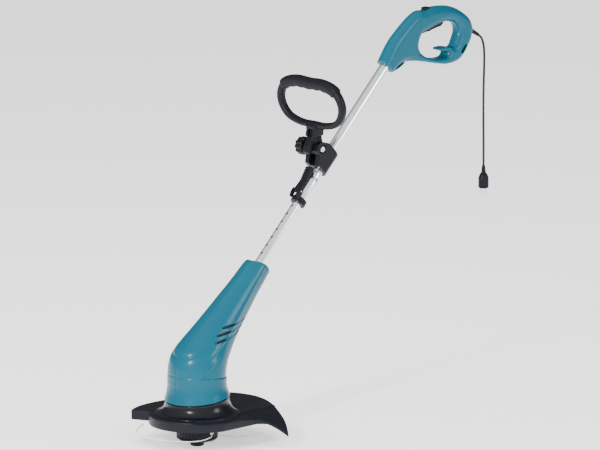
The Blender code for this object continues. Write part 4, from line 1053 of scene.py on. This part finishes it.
# %% The loop's own plane
LOOP_CENTRE = np.array((bolt_at[0] - 12.0, 0.0, 664.0))
LEAN = math.radians(8.0)
LOOP_UP = np.array((-math.sin(LEAN), 0.0, math.cos(LEAN)))
LOOP_OUT = np.array((-math.cos(LEAN), 0.0, -math.sin(LEAN)))
HALF_WIDE = 87.5
HALF_TALL = 44.0
LOOP_PATH = [(0.0, 1.0), (0.45, 1.01), (0.80, 0.80), (0.985, 0.30), (0.98, -0.25), (0.78, -0.76), (0.40, -0.99),
             (0.0, -1.0)]
right_side = [(a * HALF_WIDE, u * HALF_TALL) for a, u in LOOP_PATH]
loop_path = fine_line(right_side + [(-a, u) for a, u in reversed(right_side[1:-1])], 240, closed=True)


def loop_rings(path, flat, deep, sides=32, square=2.5):
    """Squarish ovals round a line in the loop's plane: the cosine and the sine are each raised to the
    power 2 / square, which fills out the corners of an ellipse. flat lies in the plane, deep across."""
    way = np.gradient(path, axis=0)
    way /= np.linalg.norm(way, axis=1)[:, None]
    centre = LOOP_CENTRE + path[:, :1] * ACROSS + path[:, 1:] * LOOP_UP
    outward = way[:, 1:] * ACROSS - way[:, :1] * LOOP_UP
    angle = np.linspace(0.0, 2 * math.pi, sides, endpoint=False)[None, :]
    c = np.sign(np.cos(angle)) * np.abs(np.cos(angle)) ** (2.0 / square)
    s = np.sign(np.sin(angle)) * np.abs(np.sin(angle)) ** (2.0 / square)
    return (centre[:, None] + (flat * c)[..., None] * outward[:, None] + (deep * s)[..., None] * LOOP_OUT)


height = loop_path[:, 1:] / HALF_TALL
loop = from_grid("loop_bar", loop_rings(loop_path, 8.0 + 1.2 * height, 8.5 + 0.0 * height), wrap_rows=True)

# %% Neck and eye
NECK_AXES = (bolt_at, EAST, ZENITH, -ACROSS)
under_eye = arc_points((0.0, 0.0), 15.9, 190.0, 80.0, 24)
neck_corners = [(9.5, 27.0), (11.0, 38.0), (19.0, 46.5), (-18.0, 52.0), (-16.0, 40.0), (-19.0, 24.0),
                (-29.0, 6.0), (-31.0, -4.0), (-26.0, -10.0), (-15.2, -4.0)]
neck_outline = np.concatenate([rounded_loop(neck_corners, 4.0, 6)[6:-7], under_eye[1:], [(9.2, 19.0)]])
neck = moulded_plate("neck", neck_outline, 8.5, 1.6, NECK_AXES, 5)
wide_corners = [(9.3, 27.0), (10.8, 38.0), (18.5, 46.2), (-17.6, 51.6), (-15.8, 40.0), (-18.6, 25.0)]
wide_neck = moulded_plate("wide_neck", rounded_loop(wide_corners, 3.0, 5), 13.5, 2.0, NECK_AXES, 6)
eye_outline = np.concatenate([[(9.0, 24.0), (-12.0, 24.0)], arc_points((0.0, 0.0), 13.5, 150.0, 390.0, 40)])
eye = moulded_plate("eye", eye_outline, 8.6, 0.8, NECK_AXES, 3)
combine(loop, [neck, eye, wide_neck], "UNION")
pocket_corners = [(-60.0, 28.0), (-11.0, 26.0), (-9.0, 42.0), (-60.0, 43.5)]
pocket = moulded_plate("pocket", rounded_loop(pocket_corners, 2.5, 5), 6.5, 1.5, NECK_AXES)
combine(loop, [pocket, rod("bolt_way", 3.3, -60.0, 60.0, BOLT_AXES, 48)])
loop.name = "loop_frame"
dress(loop, "loop_handle", SATIN_BLACK, ["front_handle"], 38.0)

# %% Rubber grip with finger swells
held = loop_path[:, 1] > 0.70 * HALF_TALL
order = np.argsort(loop_path[held][:, 0])
grip_path = loop_path[held][order]
grip_high = grip_path[:, 1:] / HALF_TALL
angle = np.linspace(0.0, 2 * math.pi, 40, endpoint=False)[None, :]
edge = np.minimum(np.arange(len(grip_path)), np.arange(len(grip_path))[::-1])[:, None]
place = grip_path[:, :1]
swell = 0.8 * np.cos(2 * math.pi * place / 23.0) * (0.5 + 0.5 * np.cos(angle)) * (np.abs(place) < 52)
round_end = 1.2 * (1.0 - np.sqrt(1.0 - np.clip(1.0 - edge / 2.0, 0.0, 1.0) ** 2))
flat = 8.3 + 1.2 * grip_high
skin = loop_rings(grip_path, flat + 2.9 + swell - round_end, 8.8 + 2.3 - round_end, 40)
bore = loop_rings(grip_path, flat + 0.0 * angle, 8.8 + 0.0 * flat * angle, 40)
grip = from_grid("finger_grip", np.concatenate([skin, bore[::-1]]), wrap_rows=True)
dress(grip, "loop_handle", RUBBER, ["handle_grip"], 45.0)
print("loop handle:", PIECES[-2:])

# %% [markdown]
# ## Rear handle
# The rear handle is a closed ring of plastic: the hand goes through its opening, and the shaft plugs
# into its long nose. Each half is laid out as pairs of points, one on the outer edge and one on the
# opening's edge, and a smooth sheet runs between them. Its height over the middle plane depends only
# on the distance to the nearest edge, which gives the same full, rounded edge all the way round.

# %% Pairs of edge points and the edge radius there
PAIRS = [
    ((703.0, 817.0), (709.0, 782.0), 15.5), ((674.0, 818.0), (680.0, 776.5), 16.0),
    ((652.0, 814.5), (662.0, 771.5), 16.0), ((640.0, 815.5), (653.0, 769.5), 16.0),
    ((628.0, 812.0), (646.5, 767.5), 16.0), ((610.0, 802.0), (641.0, 762.0), 16.0),
    ((586.0, 785.0), (637.5, 756.0), 16.0), ((558.0, 761.0), (635.8, 751.0), 16.0),
    ((535.5, 731.0), (635.0, 747.0), 15.5), ((532.0, 723.0), (634.8, 743.0), 15.5),
    ((544.0, 710.7), (635.0, 739.0), 15.0), ((556.0, 698.5), (636.0, 735.0), 14.0),
    ((562.0, 700.5), (637.0, 732.5), 13.0), ((575.0, 708.5), (638.5, 729.5), 13.0),
    ((593.0, 714.5), (640.5, 727.0), 12.0), ((616.0, 714.0), (644.0, 723.0), 8.0),
    ((645.0, 708.5), (653.0, 717.0), 5.0), ((674.0, 701.5), (682.0, 708.7), 4.6),
    ((712.0, 694.5), (706.0, 707.0), 5.4), ((745.0, 697.0), (716.0, 710.5), 8.0),
    ((764.0, 706.0), (718.5, 719.0), 12.0), ((779.0, 724.0), (723.5, 726.5), 13.0),
    ((787.0, 735.0), (737.0, 727.5), 14.0), ((791.5, 746.0), (744.0, 740.0), 15.0),
    ((793.0, 762.0), (750.0, 754.0), 15.0), ((783.0, 781.0), (749.0, 766.0), 14.0),
    ((761.0, 798.0), (740.0, 776.0), 14.0), ((732.0, 812.0), (725.0, 781.0), 14.5)]
GRIP_HALF = 17.0
FACE_T = 761.4


def nearest(points_x, points_z, line, keep):
    """Distance from each grid point to the kept stretches of a closed line."""
    best = np.full(points_x.shape, 1e9)
    start, end = line[keep], np.roll(line, -1, axis=0)[keep]
    way = end - start
    length = np.sum(way ** 2, axis=1)
    for column in range(points_x.shape[1]):
        dx = points_x[:, column, None] - start[None, :, 0]
        dz = points_z[:, column, None] - start[None, :, 1]
        share = np.clip((dx * way[:, 0] + dz * way[:, 1]) / length, 0.0, 1.0)
        best[:, column] = np.hypot(dx - share * way[:, 0], dz - share * way[:, 1]).min(axis=1)
    return best


def round_over(distance, radius):
    """Half thickness a distance in from the edge: H - R + sqrt(R^2 - (R - d)^2), level past d = R."""
    d = np.minimum(distance, radius)
    return GRIP_HALF - radius + np.sqrt(np.maximum(radius ** 2 - (radius - d) ** 2, 0.0))


# %% The two halves
rows = 420
where = np.linspace(0.0, len(PAIRS), rows, endpoint=False)
outer_line = curve_through([pair[0] for pair in PAIRS], where, closed=True)
inner_line = curve_through([pair[1] for pair in PAIRS], where, closed=True)
edge_radius = curve_through([pair[2] for pair in PAIRS], where, closed=True)[:, None]
across = 0.5 - 0.5 * np.cos(np.linspace(0.0, math.pi, 46))
sheet_xz = outer_line[:, None] * (1 - across)[None, :, None] + inner_line[:, None] * across[None, :, None]
x, z = sheet_xz[..., 0], sheet_xz[..., 1]
along_shaft = x * ALONG[0] + (z - FOOT[2]) * ALONG[2]
outer_t = outer_line[:, 0] * ALONG[0] + (outer_line[:, 1] - FOOT[2]) * ALONG[2]
not_face = outer_t > FACE_T + 1.0
everywhere = np.ones(rows, bool)
rim_away = np.minimum(nearest(x, z, outer_line, not_face), nearest(x, z, inner_line, everywhere))
thick = np.minimum(round_over(rim_away, edge_radius), round_over(np.maximum(along_shaft - FACE_T, 0.0), 3.0))
TRIGGER_PIVOT = (656.0, 781.0)
PLAN_XZ = (ORIGIN, EAST, ZENITH, -ACROSS)


def across_at(x, z):
    """The frame of a hole or pin that runs from side to side at a place in the handle."""
    return np.array((x, 0.0, z)), EAST, -ZENITH, ACROSS


hook = [(726.0, 718.0), (711.0, 721.8), (699.0, 723.5), (695.8, 726.0), (699.0, 728.9), (712.0, 729.5),
        (727.0, 727.3)]
hook_slot = [(766.0, 731.0), (770.0, 725.0), (760.0, 712.0), (750.0, 711.0), (754.0, 720.0)]
pocket_outline = [(643.0, 755.0), (716.0, 755.0), (716.0, 800.0), (650.0, 792.0), (643.0, 784.0)]
HANDLE_SCREWS = [(576.0, 742.0), (622.0, 780.0), (730.0, 795.0), (772.0, 740.0)]
relief_frame = (RELIEF_FOOT, np.array((math.sin(DIP), 0.0, math.cos(DIP))), ACROSS, RELIEF_WAY)
for word, side in (("left", -1.0), ("right", 1.0)):
    face = np.stack([x, side * np.maximum(thick, SEAM + 0.5), z], axis=-1)
    chosen = np.linspace(45, 0, 12).astype(int)
    middle = np.stack([x[:, chosen], np.full((rows, 12), side * SEAM), z[:, chosen]], axis=-1)
    half = from_grid(f"grip_{word}", np.concatenate([face, middle], axis=1), wrap_rows=True)
    finger = moulded_plate("hook", rounded_loop(hook, 2.0, 4), 6.5, 1.6, moved(PLAN_XZ, ACROSS * side * 7.0))
    combine(half, [finger], "UNION")
    seam_block = block("seam", (400.0, 60.0, 300.0), (660.0, side * (SEAM - 30.0), 757.0))
    cuts = [seam_block,
            block("nose_trim", (60.0, 90.0, 90.0), (730.0, 0.0, 0.0), SHAFT_FLAT),
            rod("socket", 11.3, 700.0, 804.6, SHAFT, 96),
            moulded_plate("slot", rounded_loop(hook_slot, 2.5, 5), 40.0, 0.2, PLAN_XZ),
            moulded_plate("trigger_way", rounded_loop(pocket_outline, 1.0, 3), 5.6, 0.3, PLAN_XZ),
            block("switch_way", (38.0, 18.0, 12.4), (692.0, 0.0, 804.8)),
            block("button_way", (16.8, 12.8, 30.0), (662.0, 0.0, 817.0)),
            rod("pivot_way", 1.8, -12.5, 12.5, across_at(*TRIGGER_PIVOT), 32),
            rod("relief_way", 6.4, 0.0, 24.0, relief_frame, 48)]
    if side > 0:
        for number, (sx, sz) in enumerate(HANDLE_SCREWS):
            cuts.append(rod(f"sink_{number}", 4.0, GRIP_HALF - 4.0, GRIP_HALF + 6.0, across_at(sx, sz), 40))
            cuts.append(rod(f"way_{number}", 1.9, -4.0, GRIP_HALF, across_at(sx, sz), 24))
    combine(half, cuts)
    half.name = f"grip_shell_{word}"
    dress(half, "upper_shaft", TEAL_GRIP, [f"rear_handle_{word}"], 42.0)
print("rear handle:", PIECES[-2:])

# %% Trigger, lock-off button
trigger_outline = np.concatenate([
    rounded_loop([(662.0, 766.0), (676.0, 769.5), (690.0, 772.5), (703.0, 774.0), (710.0, 778.0), (712.5, 785.0),
                  (711.0, 790.5), (690.0, 788.0)], 2.5, 5),
    arc_points(TRIGGER_PIVOT, 5.2, 80.0, 180.0, 14),
    rounded_loop([(650.8, 781.0), (650.5, 766.0), (662.0, 766.0)], 2.0, 5)[6:12]])
trigger = moulded_plate("finger_trigger", trigger_outline, 5.0, 1.4, PLAN_XZ, 6)
combine(trigger, [rod("pin_way", 1.8, -20.0, 20.0, across_at(*TRIGGER_PIVOT), 32)])
dress(trigger, "trigger", SATIN_BLACK, ["trigger"], 42.0)
button_outline = rounded_loop([(-8.0, -6.0), (8.0, -6.0), (8.0, 6.0), (-8.0, 6.0)], 3.0, 6)
button = moulded_plate("lock_button", button_outline, 6.5, 1.8, moved(UPRIGHT, (662.0, 0.0, 813.5)), 6)
dress(button, "lock_off_button", SATIN_BLACK, ["lock_off_button"], 42.0)

# %% [markdown]
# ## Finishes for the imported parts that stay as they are
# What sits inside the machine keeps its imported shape. Each gets the finish of what it is made of:
# laminated iron, wound copper, sintered bronze, plated steel or plain moulded plastic.

# %% Dress the rest
REST = {
    IRON: ["motor_stator"], COPPER: ["motor_armature"], BRONZE: ["upper_bearing"],
    CARBON: ["carbon_brush_1", "carbon_brush_2"],
    PLATED: ["lower_bearing", "trigger_pin", "line_cutter_blade"] + [f"guard_screw_{k}" for k in (1, 2, 3)]
            + [f"handle_screw_{k}" for k in (1, 2, 3, 4)],
    SPRING: ["bump_spring"], NYLON: ["wound_line"], WHITE: ["line_reel", "cooling_fan"],
    SATIN_BLACK: ["motor_bracket", "brush_carrier", "tube_holder", "power_switch"],
}
for finish, names in REST.items():
    for name in names:
        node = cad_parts[name]
        node.material_slots[0].material = finish
finished = sum(REST.values(), [])
left_plain = [n for n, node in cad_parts.items() if not node.hide_render and n not in finished]
print("packed parts without a finish:", left_plain)

# %% Sizes, side by side
print("new pieces", len(PIECES), "triangles", sum(count for _, count in PIECES))
